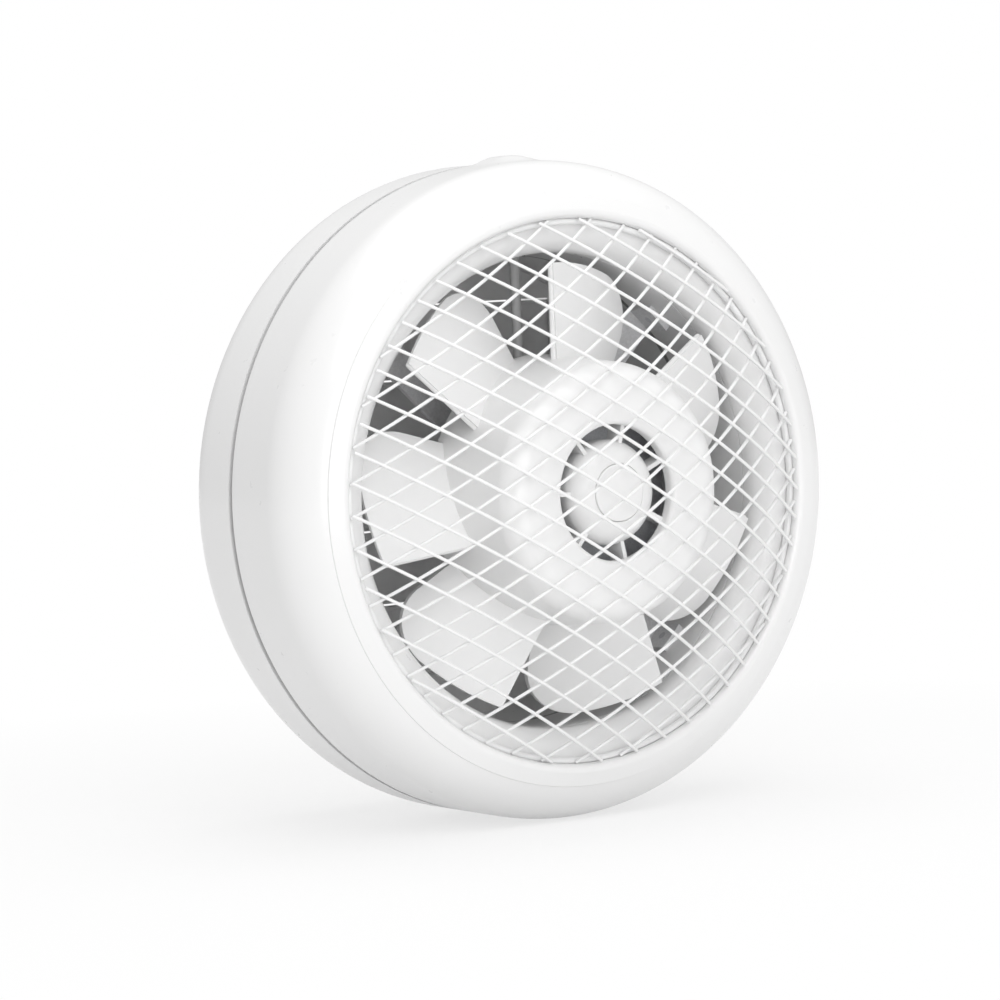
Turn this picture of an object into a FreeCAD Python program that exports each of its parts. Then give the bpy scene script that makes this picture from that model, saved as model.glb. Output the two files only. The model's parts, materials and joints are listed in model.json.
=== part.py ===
import FreeCAD, Part
import math
import os

from FreeCAD import Vector

# Wall exhaust fan. The origin is the centre of the wall face, on the fan's axis.
# +Z is up, the front faces -Y, and the air leaves along +Y into the wall.
# Sizes are millimetres and degrees. A place along the axis is "f", the distance in front of the wall.

# Casing: a rear housing and a puffy front cover that meet at a dark seam, round the inlet throat
throat_r = 112.0
casing_room = 43.6
casing_depth = 106.0
housing_depth = 44.7
seam_gap = 3.0
skin = 2.4
back_round = 24.0
crown_round = 27.0
crown_angle = 70.0
collar_step = 0.6
register_length = 12.0
register_wall = 2.6
slide_gap = 0.3
seat_gap = 0.05
overrun = 2.0

# Opening of the cover: a rolled lip, a rebate that takes the guard, and the inlet bell
rebate_step = 2.2
lip_round = 2.8
rebate_depth = 6.0
bell_round = 14.0
bell_tail = 3.0
throat_wall = 2.6

# Finger pull on the cover's top edge
pull_width = 32.0
pull_height = 3.5
pull_length = 20.0
pull_slope = 10.0
pull_pocket_depth = 12.0
pull_pocket_width = 20.0

# Back plate, gasket and wall screws
back_plate = 5.0
gasket_gap = 0.6
gasket_width = 9.4
gasket_t = 1.5
wall_screw_hole_r = 2.75
gasket_hole_gap = 0.5
wall_screw_count = 4
wall_screw_angle = 45.0
rib_count = 8
rib_t = 2.0
rib_height = 26.0

# Spigot with the shutter
spigot_length = 50.0
spigot_wall = 2.5
flange_width = 9.2
flange_t = 2.2
web_t = 3.0
ledge_t = 1.2
ledge_width = 3.0
flap_count = 5
flap_land = 22.0
flap_side = 6.1
flap_t = 1.2
flap_gap = 0.8
hinge_bead_r = 1.2
hinge_pin_r = 0.9
hinge_pin_length = 4.8
running_gap = 0.05
hem_r = 0.9

# Small fasteners
flange_screw_r = 1.5
flange_screw_head_r = 3.0
flange_screw_head_t = 1.5
flange_screw_length = 10.0
flange_screw_count = 4
flange_boss_r = 3.2
flange_boss_height = 9.0
bracket_screw_r = 2.0
bracket_screw_head_r = 3.8
bracket_screw_head_t = 2.4
motor_screw_r = 2.0
motor_screw_head_r = 3.6
motor_screw_head_t = 2.2
motor_screw_ring_r = 30.0
motor_screw_length = 7.0
bolt_r = 2.0
bolt_head_r = 3.6
bolt_head_t = 2.4
nut_across_flats = 7.0
nut_t = 3.2
drive_recess_r = 1.6
drive_recess_share = 0.6

# Motor bracket
bracket_t = 3.0
bracket_disc_r = 46.0
bracket_eye_r = 16.0
arm_count = 4
arm_angle = 45.0
arm_width = 15.0
arm_rib_t = 3.0
arm_rib_height = 8.0
foot_length = 18.0
foot_t = 3.0

# Motor
motor_r = 44.0
motor_wall = 2.5
bell_length = 29.0
ear_r = 5.5
ear_length = 6.0
ear_stand_off = 4.0
ear_count = 4
stator_length = 20.0
stator_bore_r = 20.4
slot_count = 8
slot_inner_r = 24.0
slot_outer_r = 35.0
slot_width = 8.0
slot_lining = 0.4
winding_overhang = 8.5
winding_inner_r = 23.0
winding_outer_r = 37.0
air_gap = 0.4
bearing_r = 11.0
bearing_width = 7.0
bearing_wall = 3.0
shaft_r = 4.0
shaft_gap = 0.03
shaft_tail = 5.0
shaft_hole_gap = 2.0

# Impeller hub
hub_proud = 28.5
hub_length = 60.5
hub_rear_r = 64.5
hub_front_r = 61.0
hub_wall = 2.5
hub_shoulder = 11.0
hub_hole_r = 31.6
hub_hole_round = 2.5
hub_hole_drop = 6.5
boss_r = 24.5
boss_wall = 2.5
boss_proud = 0.5
boss_dome = 9.0
boss_flat_r = 14.8
boss_bulge_share = 0.30
boss_web_t = 5.0
sleeve_r = 9.5
sleeve_drop = 3.0
sleeve_stand_off = 7.4
spoke_count = 7
spoke_angle = 24.0
spoke_t = 2.0
spoke_depth = 10.0
cap_r = 13.3
cap_t = 3.2
cap_gap = 0.25
cap_proud = 0.6
cap_edge = 0.6
prop_nut_across_flats = 10.0
prop_nut_t = 5.0
washer_r = 7.5
washer_t = 1.2
thread_r = 3.0
nut_room = 0.6
drive_pin_r = 1.25
drive_pin_length = 16.0

# Blades
blade_count = 7
blade_angle = 23.7
blade_lead_root_angle = 22.2
blade_lead_tip_angle = 16.6
blade_trail_root_angle = -22.2
blade_trail_tip_angle = -19.2
blade_tip_gap = 4.7
blade_root_drop = 36.3
blade_root_depth = 21.2
blade_tip_drop = 5.3
blade_tip_depth = 25.9
blade_root_t = 3.2
blade_tip_t = 1.8
blade_camber = 3.0
blade_front_corner = 2.0
blade_rear_corner = 22.0
blade_spare_share = 0.1
blade_bead_r = 1.5

# Wire guard: two layers of crossed wires on a ball-shaped crown, standing on a hoop
hoop_wire_r = 1.6
hoop_gap = 0.4
guard_wire_r = 0.8
guard_pitch = 12.77
guard_angle = 31.4
falling_shift_share = -0.33
rising_shift_share = -0.07
guard_rise = 40.0
weld_gap = 0.04
wire_end_reach = 0.8
shortest_half_wire = 20.0

# Terminal block and leads
block_width = 40.0
block_depth = 24.0
block_height = 15.0
block_set_back = 12.7
pad_height = 3.0
pole_count = 3
pole_pitch = 12.0
pole_screw_r = 2.2
pole_screw_depth = 5.0
pole_well_r = 2.6
wire_port_r = 2.0
wire_port_depth = 9.0
block_screw_r = 1.5
block_screw_head_r = 2.8
block_screw_head_t = 1.8
block_screw_length = 9.0
block_foot_t = 4.0
block_foot_width = 9.0
lead_r = 2.4
lead_grommet_wall = 1.4
lead_grommet_flange = 1.6
lead_grommet_t = 1.2

# Cable entry through the housing's side
entry_angle = 60.0
entry_bore_r = 4.0
entry_neck_r = 6.0
entry_flange_r = 8.0
entry_flange_t = 1.6

# Places that follow from the sizes above
casing_r = throat_r + casing_room
rebate_r = throat_r + bell_round + rebate_step
flange_r = throat_r + flange_width
gasket_inner_r = flange_r + gasket_gap
gasket_outer_r = gasket_inner_r + gasket_width
wall_screw_ring_r = (gasket_inner_r + gasket_outer_r) / 2
flange_screw_ring_r = (throat_r + spigot_wall + flange_r) / 2
flap_pitch = 2 * (throat_r - flap_land) / flap_count
ear_ring_r = motor_r + ear_stand_off
hoop_r = rebate_r - hoop_gap - hoop_wire_r
blade_tip_r = throat_r - blade_tip_gap
cover_rear_f = housing_depth + seam_gap
crown_inner_r = casing_r - crown_round
turn = math.radians(crown_angle)
lip_crest_r = rebate_r + lip_round
crown_end_r = crown_inner_r + crown_round * math.cos(turn)
collar_end_r = lip_crest_r + lip_round * math.cos(turn)
collar_rise = (crown_end_r - collar_end_r) / math.tan(turn)
lip_centre_f = casing_depth - lip_round
crown_centre_f = lip_centre_f + lip_round * math.sin(turn) - collar_rise - crown_round * math.sin(turn)
seat_f = casing_depth - rebate_depth
bell_centre_r = throat_r + bell_round
bell_centre_f = seat_f - bell_round
bell_end_f = bell_centre_f - bell_tail
throat_front_f = bell_end_f - slide_gap
register_r = casing_r - skin - slide_gap
register_end_f = cover_rear_f + register_length
back_centre_r = casing_r - back_round
rib_outer_r = back_centre_r + back_round / 2
hinge_f = -web_t / 2
jog_f = housing_depth - register_wall - skin
entry_f = jog_f - entry_flange_r - slide_gap
hub_front_f = casing_depth + hub_proud
hub_rear_f = hub_front_f - hub_length
boss_front_f = hub_front_f + boss_proud
boss_edge_f = boss_front_f - boss_dome
well_f = boss_front_f + cap_proud - cap_t
sleeve_front_f = well_f - nut_room - prop_nut_t - washer_t
sleeve_rear_f = sleeve_front_f - drive_pin_r - boss_web_t - sleeve_drop
boss_rear_f = sleeve_rear_f + sleeve_drop
shaft_front_f = well_f - nut_room / 2
blade_root_front_f = hub_front_f - blade_root_drop
blade_root_rear_f = blade_root_front_f - blade_root_depth
blade_tip_front_f = blade_root_front_f - blade_tip_drop
blade_tip_rear_f = blade_tip_front_f - blade_tip_depth
motor_front_f = sleeve_rear_f - sleeve_stand_off
motor_split_f = motor_front_f - bell_length
motor_rear_f = motor_split_f - bell_length
bracket_f = motor_rear_f - bracket_t
block_f = throat_front_f - block_set_back - block_depth / 2
stator_rear_f = motor_split_f - stator_length / 2
stator_front_f = motor_split_f + stator_length / 2
stator_r = motor_r - motor_wall - seat_gap
rotor_r = stator_bore_r - air_gap
hoop_f = seat_f + hoop_wire_r + slide_gap / 2
guard_apex_f = casing_depth + guard_rise
pad_top_z = throat_r + throat_wall + pad_height


def at(r, f, angle=0.0):
    """Point at radius r and distance f in front of the wall, at a clock angle from +X towards +Z."""
    turned = math.radians(angle)
    return Vector(r * math.cos(turned), -f, r * math.sin(turned))


def outward(angle):
    """Unit vector that points away from the axis at a clock angle."""
    return at(1, 0, angle)


FRONT = Vector(0, -1, 0)
BACK = Vector(0, 1, 0)
UP = Vector(0, 0, 1)
DOWN = Vector(0, 0, -1)
CENTRE = Vector(0, 0, 0)


def around(shape, angle):
    """Copy of a shape turned about the fan's axis, from +X towards +Z."""
    return shape.rotated(CENTRE, FRONT, angle)


def bend(centre_r, centre_f, radius, angle):
    """Point of a profile arc, as radius and f."""
    turned = math.radians(angle)
    return (centre_r + radius * math.cos(turned), centre_f + radius * math.sin(turned))


def turned_solid(start, *steps):
    """Revolve a closed profile about the axis. A step is a point, or a point on an arc and its end."""
    edges = []
    here = start
    for step in steps + (start,):
        is_arc = isinstance(step[0], tuple)
        end = step[1] if is_arc else step
        if is_arc:
            edges.append(Part.Arc(at(*here), at(*step[0]), at(*end)).toShape())
        else:
            edges.append(Part.LineSegment(at(*here), at(*end)).toShape())
        here = end
    face = Part.Face(Part.Wire(edges))
    return face.revolve(CENTRE, BACK, 360)


def drum(r, rear_f, front_f, ring_r=0.0, angle=0.0):
    """Cylinder along the axis, or parallel to it at a radius and clock angle."""
    return Part.makeCylinder(r, front_f - rear_f, at(ring_r, rear_f, angle), FRONT)


def sleeve(outer_r, inner_r, rear_f, front_f, ring_r=0.0, angle=0.0):
    """Tube along the axis."""
    bore = drum(inner_r, rear_f - overrun, front_f + overrun, ring_r, angle)
    return drum(outer_r, rear_f, front_f, ring_r, angle).cut(bore)


def peg(r, inner_r, outer_r, f, angle):
    """Cylinder that points away from the axis."""
    return Part.makeCylinder(r, outer_r - inner_r, at(inner_r, f, angle), outward(angle))


def block(x0, x1, rear_f, front_f, z0, z1):
    """Box between two sides, two places along the axis and two heights."""
    return Part.makeBox(x1 - x0, front_f - rear_f, z1 - z0, Vector(x0, -front_f, z0))


def hexagon(across_flats, rear_f, front_f, ring_r=0.0, angle=0.0):
    """Hexagonal prism along the axis direction, with a flat towards the axis."""
    corner_r = across_flats / math.sqrt(3)
    middle = at(ring_r, rear_f, angle)
    corners = [middle + at(corner_r, 0, angle + turned) for turned in clock(6, 30.0)]
    corners.append(corners[0])
    return Part.Face(Part.makePolygon(corners)).extrude(FRONT * (front_f - rear_f))


def clock(count, start=0.0):
    """Clock angles of an even pattern."""
    return [start + 360.0 * step / count for step in range(count)]


def cut_all(shape, tools):
    return shape.cut(Part.makeCompound(tools)) if tools else shape


def fuse_all(shape, others):
    return shape.fuse(others).removeSplitter()


def pan_screw(shank_r, length, head_r, head_t, place, direction):
    """Pan-head screw with a round recess: its head sits on the place, its shank points along direction."""
    screw = Part.makeCylinder(shank_r, length, place, direction)
    head = Part.makeCylinder(head_r, head_t, place, direction * -1)
    recess_depth = head_t * drive_recess_share
    recess_r = min(drive_recess_r, head_r * drive_recess_share)
    recess = Part.makeCylinder(recess_r, recess_depth, place - direction * head_t, direction)
    return screw.fuse(head).cut(recess)


def rear_housing():
    """Rear casing: outer skin, back plate, throat tube, screw bosses, ribs and a pad for the terminals."""
    inner_round = back_round - skin
    inner_start_r = back_centre_r + math.sqrt(inner_round ** 2 - (back_round - back_plate) ** 2)
    inner_start = (inner_start_r, back_plate)
    start_angle = math.degrees(math.atan2(back_plate - back_round, inner_start_r - back_centre_r))
    register_inner_r = register_r - register_wall
    shell = turned_solid(
        (throat_r, flange_t),
        (throat_r, throat_front_f),
        (throat_r + throat_wall, throat_front_f),
        (throat_r + throat_wall, back_plate),
        inner_start,
        (bend(back_centre_r, back_round, inner_round, start_angle / 2), (casing_r - skin, back_round)),
        (casing_r - skin, jog_f),
        (register_inner_r, housing_depth - skin),
        (register_inner_r, register_end_f),
        (register_r, register_end_f),
        (register_r, housing_depth),
        (casing_r, housing_depth),
        (casing_r, back_round),
        (bend(back_centre_r, back_round, back_round, -45), (back_centre_r, 0)),
        (gasket_outer_r + seat_gap, 0),
        (gasket_outer_r + seat_gap, gasket_t),
        (gasket_inner_r - seat_gap, gasket_t),
        (gasket_inner_r - seat_gap, 0),
        (flange_r + seat_gap, 0),
        (flange_r + seat_gap, flange_t),
    )
    pad_half = block_width / 2 + block_foot_width
    pad_rear_f = block_f - block_depth / 2
    pad_front_f = block_f + block_depth / 2
    pad = block(-pad_half, pad_half, pad_rear_f, pad_front_f, throat_r * math.cos(turn), pad_top_z)
    pad = pad.cut(drum(throat_r + throat_wall / 2, pad_rear_f - overrun, pad_front_f + overrun))
    extras = [pad]
    for angle in clock(flange_screw_count):
        boss_front_f = back_plate + flange_boss_height
        extras.append(drum(flange_boss_r, back_plate / 2, boss_front_f, flange_screw_ring_r, angle))
    rib_inner_r = throat_r + throat_wall / 2
    for angle in clock(rib_count, 180.0 / rib_count):
        corners = [
            at(rib_inner_r, back_plate / 2),
            at(rib_outer_r, back_plate / 2 + skin),
            at(rib_outer_r, back_round / 2),
            at(rib_inner_r, back_plate + rib_height),
            at(rib_inner_r, back_plate / 2),
        ]
        plate = Part.Face(Part.makePolygon(corners)).extrude(Vector(0, 0, rib_t))
        extras.append(around(plate.translated(Vector(0, 0, -rib_t / 2)), angle))
    shell = fuse_all(shell, extras)
    holes = []
    for angle in clock(wall_screw_count, wall_screw_angle):
        holes.append(drum(wall_screw_hole_r, 0, back_plate + overrun, wall_screw_ring_r, angle))
    for angle in clock(flange_screw_count):
        hole_front_f = flange_screw_length + overrun
        holes.append(drum(flange_screw_r + seat_gap, 0, hole_front_f, flange_screw_ring_r, angle))
    for angle in clock(arm_count, arm_angle):
        hole_r = bracket_screw_r + seat_gap
        outer_r = throat_r + throat_wall + overrun
        holes.append(peg(hole_r, throat_r - overrun, outer_r, foot_middle_f(), angle))
    lead_hole_r = lead_r + lead_grommet_wall + seat_gap
    holes.append(peg(lead_hole_r, throat_r - overrun, pad_top_z + overrun, block_f, 90))
    for side in (-1, 1):
        place = Vector(side * block_screw_x(), -block_f, pad_top_z + overrun)
        depth = block_screw_length + overrun
        holes.append(Part.makeCylinder(block_screw_r + seat_gap, depth, place, DOWN))
    entry_hole_r = entry_neck_r + seat_gap
    holes.append(peg(entry_hole_r, casing_r - skin - overrun, casing_r + overrun, entry_f, entry_angle))
    return cut_all(shell, holes)


def foot_middle_f():
    """Place along the axis of the screws that hold the bracket's feet."""
    return bracket_f + bracket_t + (foot_length - bracket_t) / 2


def block_screw_x():
    return block_width / 2 + block_foot_width / 2


def wall_gasket():
    """Foam ring that seals against the wall, pierced for the wall screws."""
    ring = sleeve(gasket_outer_r, gasket_inner_r, 0, gasket_t)
    hole_r = wall_screw_hole_r + gasket_hole_gap
    holes = []
    for angle in clock(wall_screw_count, wall_screw_angle):
        holes.append(drum(hole_r, -overrun, gasket_t + overrun, wall_screw_ring_r, angle))
    return cut_all(ring, holes)


def flap_rows():
    """Top height and half width of each shutter flap, from the top down."""
    rows = []
    for row in range(flap_count):
        row_top = flap_pitch * (flap_count / 2 - row)
        far_edge = max(abs(row_top), abs(row_top - flap_pitch))
        rows.append((row_top, math.sqrt(throat_r ** 2 - far_edge ** 2) - flap_side))
    return rows


def hinge_z(row_top):
    return row_top - flap_gap - hinge_bead_r


def shutter_frame():
    """Spigot that enters the wall, with a web that carries the flaps and a ledge that stops them."""
    frame = sleeve(throat_r + spigot_wall, throat_r, -spigot_length, flange_t)
    frame = frame.fuse([
        sleeve(flange_r, throat_r, 0, flange_t),
        drum(throat_r + spigot_wall / 2, -web_t, ledge_t),
    ])
    cuts = []
    for row_top, half in flap_rows():
        window = half + flap_gap
        narrow = window - ledge_width
        row_bottom = row_top - flap_pitch
        cuts.append(block(-window, window, -web_t - overrun, 0, row_bottom, row_top))
        cuts.append(block(-narrow, narrow, -overrun, ledge_t + overrun, row_bottom, row_top))
        for side in (0, 180):
            pin_end = half + hinge_pin_length + flap_gap
            start = at(half, hinge_f, side) + Vector(0, 0, hinge_z(row_top))
            cuts.append(Part.makeCylinder(hinge_pin_r + running_gap, pin_end - half, start, outward(side)))
    for angle in clock(flange_screw_count):
        cone = Part.makeCone(
            flange_screw_head_r + seat_gap, flange_screw_r + seat_gap, flange_screw_head_t,
            at(flange_screw_ring_r, 0, angle), FRONT)
        cuts.append(cone)
        hole_r = flange_screw_r + seat_gap
        cuts.append(drum(hole_r, flange_screw_head_t / 2, flange_t + overrun, flange_screw_ring_r, angle))
    return cut_all(frame.removeSplitter(), cuts)


def shutter_screws():
    """Countersunk screws that hold the spigot's flange flush in the back plate."""
    screws = []
    for angle in clock(flange_screw_count):
        place = at(flange_screw_ring_r, 0, angle)
        head = Part.makeCone(flange_screw_head_r, flange_screw_r, flange_screw_head_t, place, FRONT)
        shank_rear_f = flange_screw_head_t / 2
        shank = drum(flange_screw_r, shank_rear_f, flange_screw_length, flange_screw_ring_r, angle)
        recess_r = flange_screw_r * drive_recess_share
        recess = drum(recess_r, 0, flange_screw_head_t * drive_recess_share, flange_screw_ring_r, angle)
        screws.append(head.fuse(shank).cut(recess))
    return Part.makeCompound(screws)


def shutter_flap(row_top, half):
    """Flat flap that hangs from a bead with a pin at each end. Its lower edge has a round hem."""
    pivot_z = hinge_z(row_top)
    hem_z = row_top - flap_pitch + hem_r
    plate = block(-half, half, hinge_f - flap_t / 2, hinge_f + flap_t / 2, hem_z, pivot_z)
    left = Vector(-half, -hinge_f, pivot_z)
    bead = Part.makeCylinder(hinge_bead_r, 2 * half, left, Vector(1, 0, 0))
    hem = Part.makeCylinder(hem_r, 2 * half, Vector(-half, -hinge_f, hem_z), Vector(1, 0, 0))
    pin_start = left - Vector(hinge_pin_length, 0, 0)
    pin = Part.makeCylinder(hinge_pin_r, 2 * (half + hinge_pin_length), pin_start, Vector(1, 0, 0))
    return fuse_all(plate, [bead, hem, pin])


def motor_bracket():
    """Pressed spider: a disc behind the motor, ribbed arms, and feet that lie against the throat."""
    foot_r = throat_r - seat_gap
    plate = drum(bracket_disc_r, bracket_f, motor_rear_f)
    arms = []
    for angle in clock(arm_count, arm_angle):
        arm_end = foot_r - foot_t / 2
        half = arm_width / 2
        foot_front_f = bracket_f + foot_length
        arm = block(0, arm_end, bracket_f, motor_rear_f, -half, half)
        rib_rear_f = bracket_f - arm_rib_height
        rib = block(bracket_disc_r, arm_end, rib_rear_f, bracket_f, -arm_rib_t / 2, arm_rib_t / 2)
        foot = sleeve(foot_r, foot_r - foot_t, bracket_f, foot_front_f)
        foot = foot.common(block(0, foot_r, bracket_f, foot_front_f, -half, half))
        arms += [around(piece, angle) for piece in (arm, rib, foot)]
    spider = fuse_all(plate, arms)
    holes = [drum(bracket_eye_r, bracket_f - overrun, motor_rear_f + overrun)]
    for angle in clock(arm_count, arm_angle):
        hole_r = bracket_screw_r + seat_gap
        holes.append(peg(hole_r, foot_r - foot_t - overrun, throat_r, foot_middle_f(), angle))
    for angle in clock(arm_count):
        hole_r = motor_screw_r + seat_gap
        holes.append(drum(hole_r, bracket_f - overrun, motor_rear_f + overrun, motor_screw_ring_r, angle))
    return cut_all(spider, holes)


def bracket_screws():
    """Screws from outside the throat into the bracket's feet."""
    seat_r = throat_r + throat_wall + seat_gap
    length = throat_wall + foot_t + seat_gap
    screws = []
    for angle in clock(arm_count, arm_angle):
        place = at(seat_r, foot_middle_f(), angle)
        screws.append(pan_screw(
            bracket_screw_r, length, bracket_screw_head_r, bracket_screw_head_t, place, outward(angle) * -1))
    return Part.makeCompound(screws)


def motor_screws():
    """Screws from behind the bracket into the motor's rear bell."""
    screws = []
    for angle in clock(arm_count):
        place = at(motor_screw_ring_r, bracket_f, angle)
        screws.append(pan_screw(
            motor_screw_r, motor_screw_length, motor_screw_head_r, motor_screw_head_t, place, FRONT))
    return Part.makeCompound(screws)


def motor_bell(is_front):
    """Half of the motor's case: a cup with a bearing pocket, a shaft hole and ears for the bolts."""
    closed_f = motor_front_f if is_front else motor_rear_f
    inward = -1 if is_front else 1

    def depth(length):
        return closed_f + inward * length

    def span(first, second):
        return (min(depth(first), depth(second)), max(depth(first), depth(second)))

    cup = drum(motor_r, *span(0, bell_length))
    cup = cup.cut(drum(motor_r - motor_wall, *span(motor_wall, bell_length + overrun)))
    pocket_depth = motor_wall + bearing_width
    cup = cup.fuse(drum(bearing_r + bearing_wall, *span(0, pocket_depth)))
    ears = []
    holes = [
        drum(bearing_r + seat_gap, *span(motor_wall, pocket_depth + overrun)),
        drum(shaft_r + shaft_hole_gap, *span(-overrun, motor_wall + overrun)),
    ]
    for angle in clock(ear_count, arm_angle):
        ear_span = span(bell_length - ear_length, bell_length)
        ear = drum(ear_r, *ear_span, ear_ring_r, angle)
        ears.append(ear.cut(drum(motor_r - motor_wall / 2, *ear_span)))
        holes.append(drum(bolt_r + seat_gap, *ear_span, ear_ring_r, angle))
    if not is_front:
        for angle in clock(arm_count):
            holes.append(drum(
                motor_screw_r + seat_gap, *span(-overrun, motor_wall + overrun), motor_screw_ring_r, angle))
    return cut_all(fuse_all(cup, ears), holes)


def motor_bolts():
    """Bolts through the ears of both bells."""
    head_f = motor_split_f + ear_length
    length = 2 * ear_length + nut_t
    bolts = []
    for angle in clock(ear_count, arm_angle):
        place = at(ear_ring_r, head_f, angle)
        bolts.append(pan_screw(bolt_r, length, bolt_head_r, bolt_head_t, place, BACK))
    return Part.makeCompound(bolts)


def motor_nuts():
    """Hexagon nuts behind the rear bell's ears."""
    front_f = motor_split_f - ear_length
    rear_f = front_f - nut_t
    nuts = []
    for angle in clock(ear_count, arm_angle):
        nut = hexagon(nut_across_flats, rear_f, front_f, ear_ring_r, angle)
        bore = drum(bolt_r + seat_gap, rear_f - overrun, front_f + overrun, ear_ring_r, angle)
        nuts.append(nut.cut(bore))
    return Part.makeCompound(nuts)


def slot_bar(width, inner_r, outer_r, rear_f, front_f, angle):
    return around(block(inner_r, outer_r, rear_f, front_f, -width / 2, width / 2), angle)


def stator_core():
    """Laminated ring with slots for the winding."""
    core = sleeve(stator_r, stator_bore_r, stator_rear_f, stator_front_f)
    slots = []
    for angle in clock(slot_count):
        rear_f = stator_rear_f - overrun
        front_f = stator_front_f + overrun
        slots.append(slot_bar(slot_width, slot_inner_r, slot_outer_r, rear_f, front_f, angle))
    return cut_all(core, slots)


def stator_winding():
    """Winding: an end ring on each side of the core, joined by the bundles in its slots."""
    rear_f = stator_rear_f - slot_lining
    front_f = stator_front_f + slot_lining
    width = slot_width - 2 * slot_lining
    inner_r = slot_inner_r + slot_lining
    outer_r = slot_outer_r - slot_lining
    rings = sleeve(winding_outer_r, winding_inner_r, rear_f - winding_overhang, rear_f)
    others = [sleeve(winding_outer_r, winding_inner_r, front_f, front_f + winding_overhang)]
    for angle in clock(slot_count):
        others.append(slot_bar(width, inner_r, outer_r, rear_f, front_f, angle))
    return fuse_all(rings, others)


def rotor_core():
    """Iron rotor on the shaft, inside the stator."""
    return sleeve(rotor_r, shaft_r + seat_gap / 2, stator_rear_f, stator_front_f)


def bearing(rear_f):
    """Shaft bearing."""
    return sleeve(bearing_r, shaft_r + shaft_gap, rear_f, rear_f + bearing_width)


def drive_pin_f():
    return sleeve_rear_f + drive_pin_r + seat_gap


def motor_shaft():
    """Shaft with a cross hole for the drive pin and a thread at its front end."""
    shaft = drum(shaft_r, motor_rear_f + motor_wall - shaft_tail, sleeve_front_f - seat_gap)
    shaft = shaft.fuse(drum(thread_r, sleeve_front_f - overrun, shaft_front_f)).removeSplitter()
    return shaft.cut(peg(drive_pin_r + seat_gap, -shaft_r - overrun, shaft_r + overrun, drive_pin_f(), 0))


def drive_pin():
    """Cross pin that turns the impeller."""
    return peg(drive_pin_r, -drive_pin_length / 2, drive_pin_length / 2, drive_pin_f(), 0)


def blade_edge(root_r, root_angle, root_f, tip_angle, tip_f):
    """Straight edge of a blade: its point at any distance x from the axis, from its root and tip."""
    root = at(root_r, root_f, root_angle)
    tip = at(blade_tip_r, tip_f, tip_angle)

    def point(x):
        return root + (tip - root) * ((x - root.x) / (tip.x - root.x))

    return point


def blade():
    """One blade about clock angle zero: its beaded front edge leads, and it runs back from there."""
    root_r = hub_front_r - hub_wall / 2
    lead = blade_edge(
        root_r, blade_lead_root_angle, blade_root_front_f, blade_lead_tip_angle, blade_tip_front_f)
    trail = blade_edge(
        root_r, blade_trail_root_angle, blade_root_rear_f, blade_trail_tip_angle, blade_tip_rear_f)
    inner_x = root_r - hub_shoulder
    outer_x = blade_tip_r + overrun
    sections = []
    for x in (inner_x, (inner_x + outer_x) / 2, outer_x):
        share = (x - root_r) / (blade_tip_r - root_r)
        half_t = (blade_root_t + share * (blade_tip_t - blade_root_t)) / 2
        chord = trail(x) - lead(x)
        spare = chord * blade_spare_share
        thick = FRONT * half_t
        middle = lead(x) + chord / 2 + FRONT * blade_camber
        upper = [lead(x) - spare + thick, middle + thick, trail(x) + spare + thick]
        lower = [point - thick * 2 for point in reversed(upper)]
        sections.append(Part.Wire([
            Part.Arc(*upper).toShape(),
            Part.LineSegment(upper[2], lower[0]).toShape(),
            Part.Arc(*lower).toShape(),
            Part.LineSegment(lower[2], upper[0]).toShape(),
        ]))
    sheet = Part.makeLoft(sections, True, False)
    rear_f = blade_tip_rear_f - hub_shoulder
    front_f = blade_root_front_f + hub_shoulder

    def flat(point):
        return Vector(point.x, -rear_f, point.z)

    ends = [at(blade_tip_r, rear_f, angle) for angle in (blade_trail_tip_angle, blade_lead_tip_angle)]
    roots = [flat(trail(inner_x)), flat(lead(inner_x))]
    outline = Part.Wire([
        Part.LineSegment(roots[0], ends[0]).toShape(),
        Part.Arc(ends[0], at(blade_tip_r, rear_f), ends[1]).toShape(),
        Part.LineSegment(ends[1], roots[1]).toShape(),
        Part.LineSegment(roots[1], roots[0]).toShape(),
    ])
    plan = Part.Face(outline).extrude(FRONT * (front_f - rear_f))
    for corner, corner_round in ((ends[0], blade_rear_corner), (ends[1], blade_front_corner)):
        middle = corner + FRONT * ((front_f - rear_f) / 2)
        edge = min(plan.Edges, key=lambda candidate: (candidate.CenterOfMass - middle).Length)
        plan = plan.makeFillet(corner_round, [edge])
    sheet = sheet.common(plan)
    bead_start = at(root_r, blade_root_front_f, blade_lead_root_angle)
    bead_end = at(blade_tip_r - blade_bead_r, blade_tip_front_f, blade_lead_tip_angle)
    bead = Part.makeCylinder(blade_bead_r, (bead_end - bead_start).Length, bead_start, bead_end - bead_start)
    sheet = sheet.fuse([bead, Part.makeSphere(blade_bead_r, bead_end)]).removeSplitter()
    shoulder_f = hub_front_f - hub_shoulder
    hub_core = turned_solid(
        (0, hub_rear_f),
        (hub_rear_r - hub_wall / 2, hub_rear_f),
        (root_r, shoulder_f),
        (0, shoulder_f),
    )
    return sheet.cut(hub_core)


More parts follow.
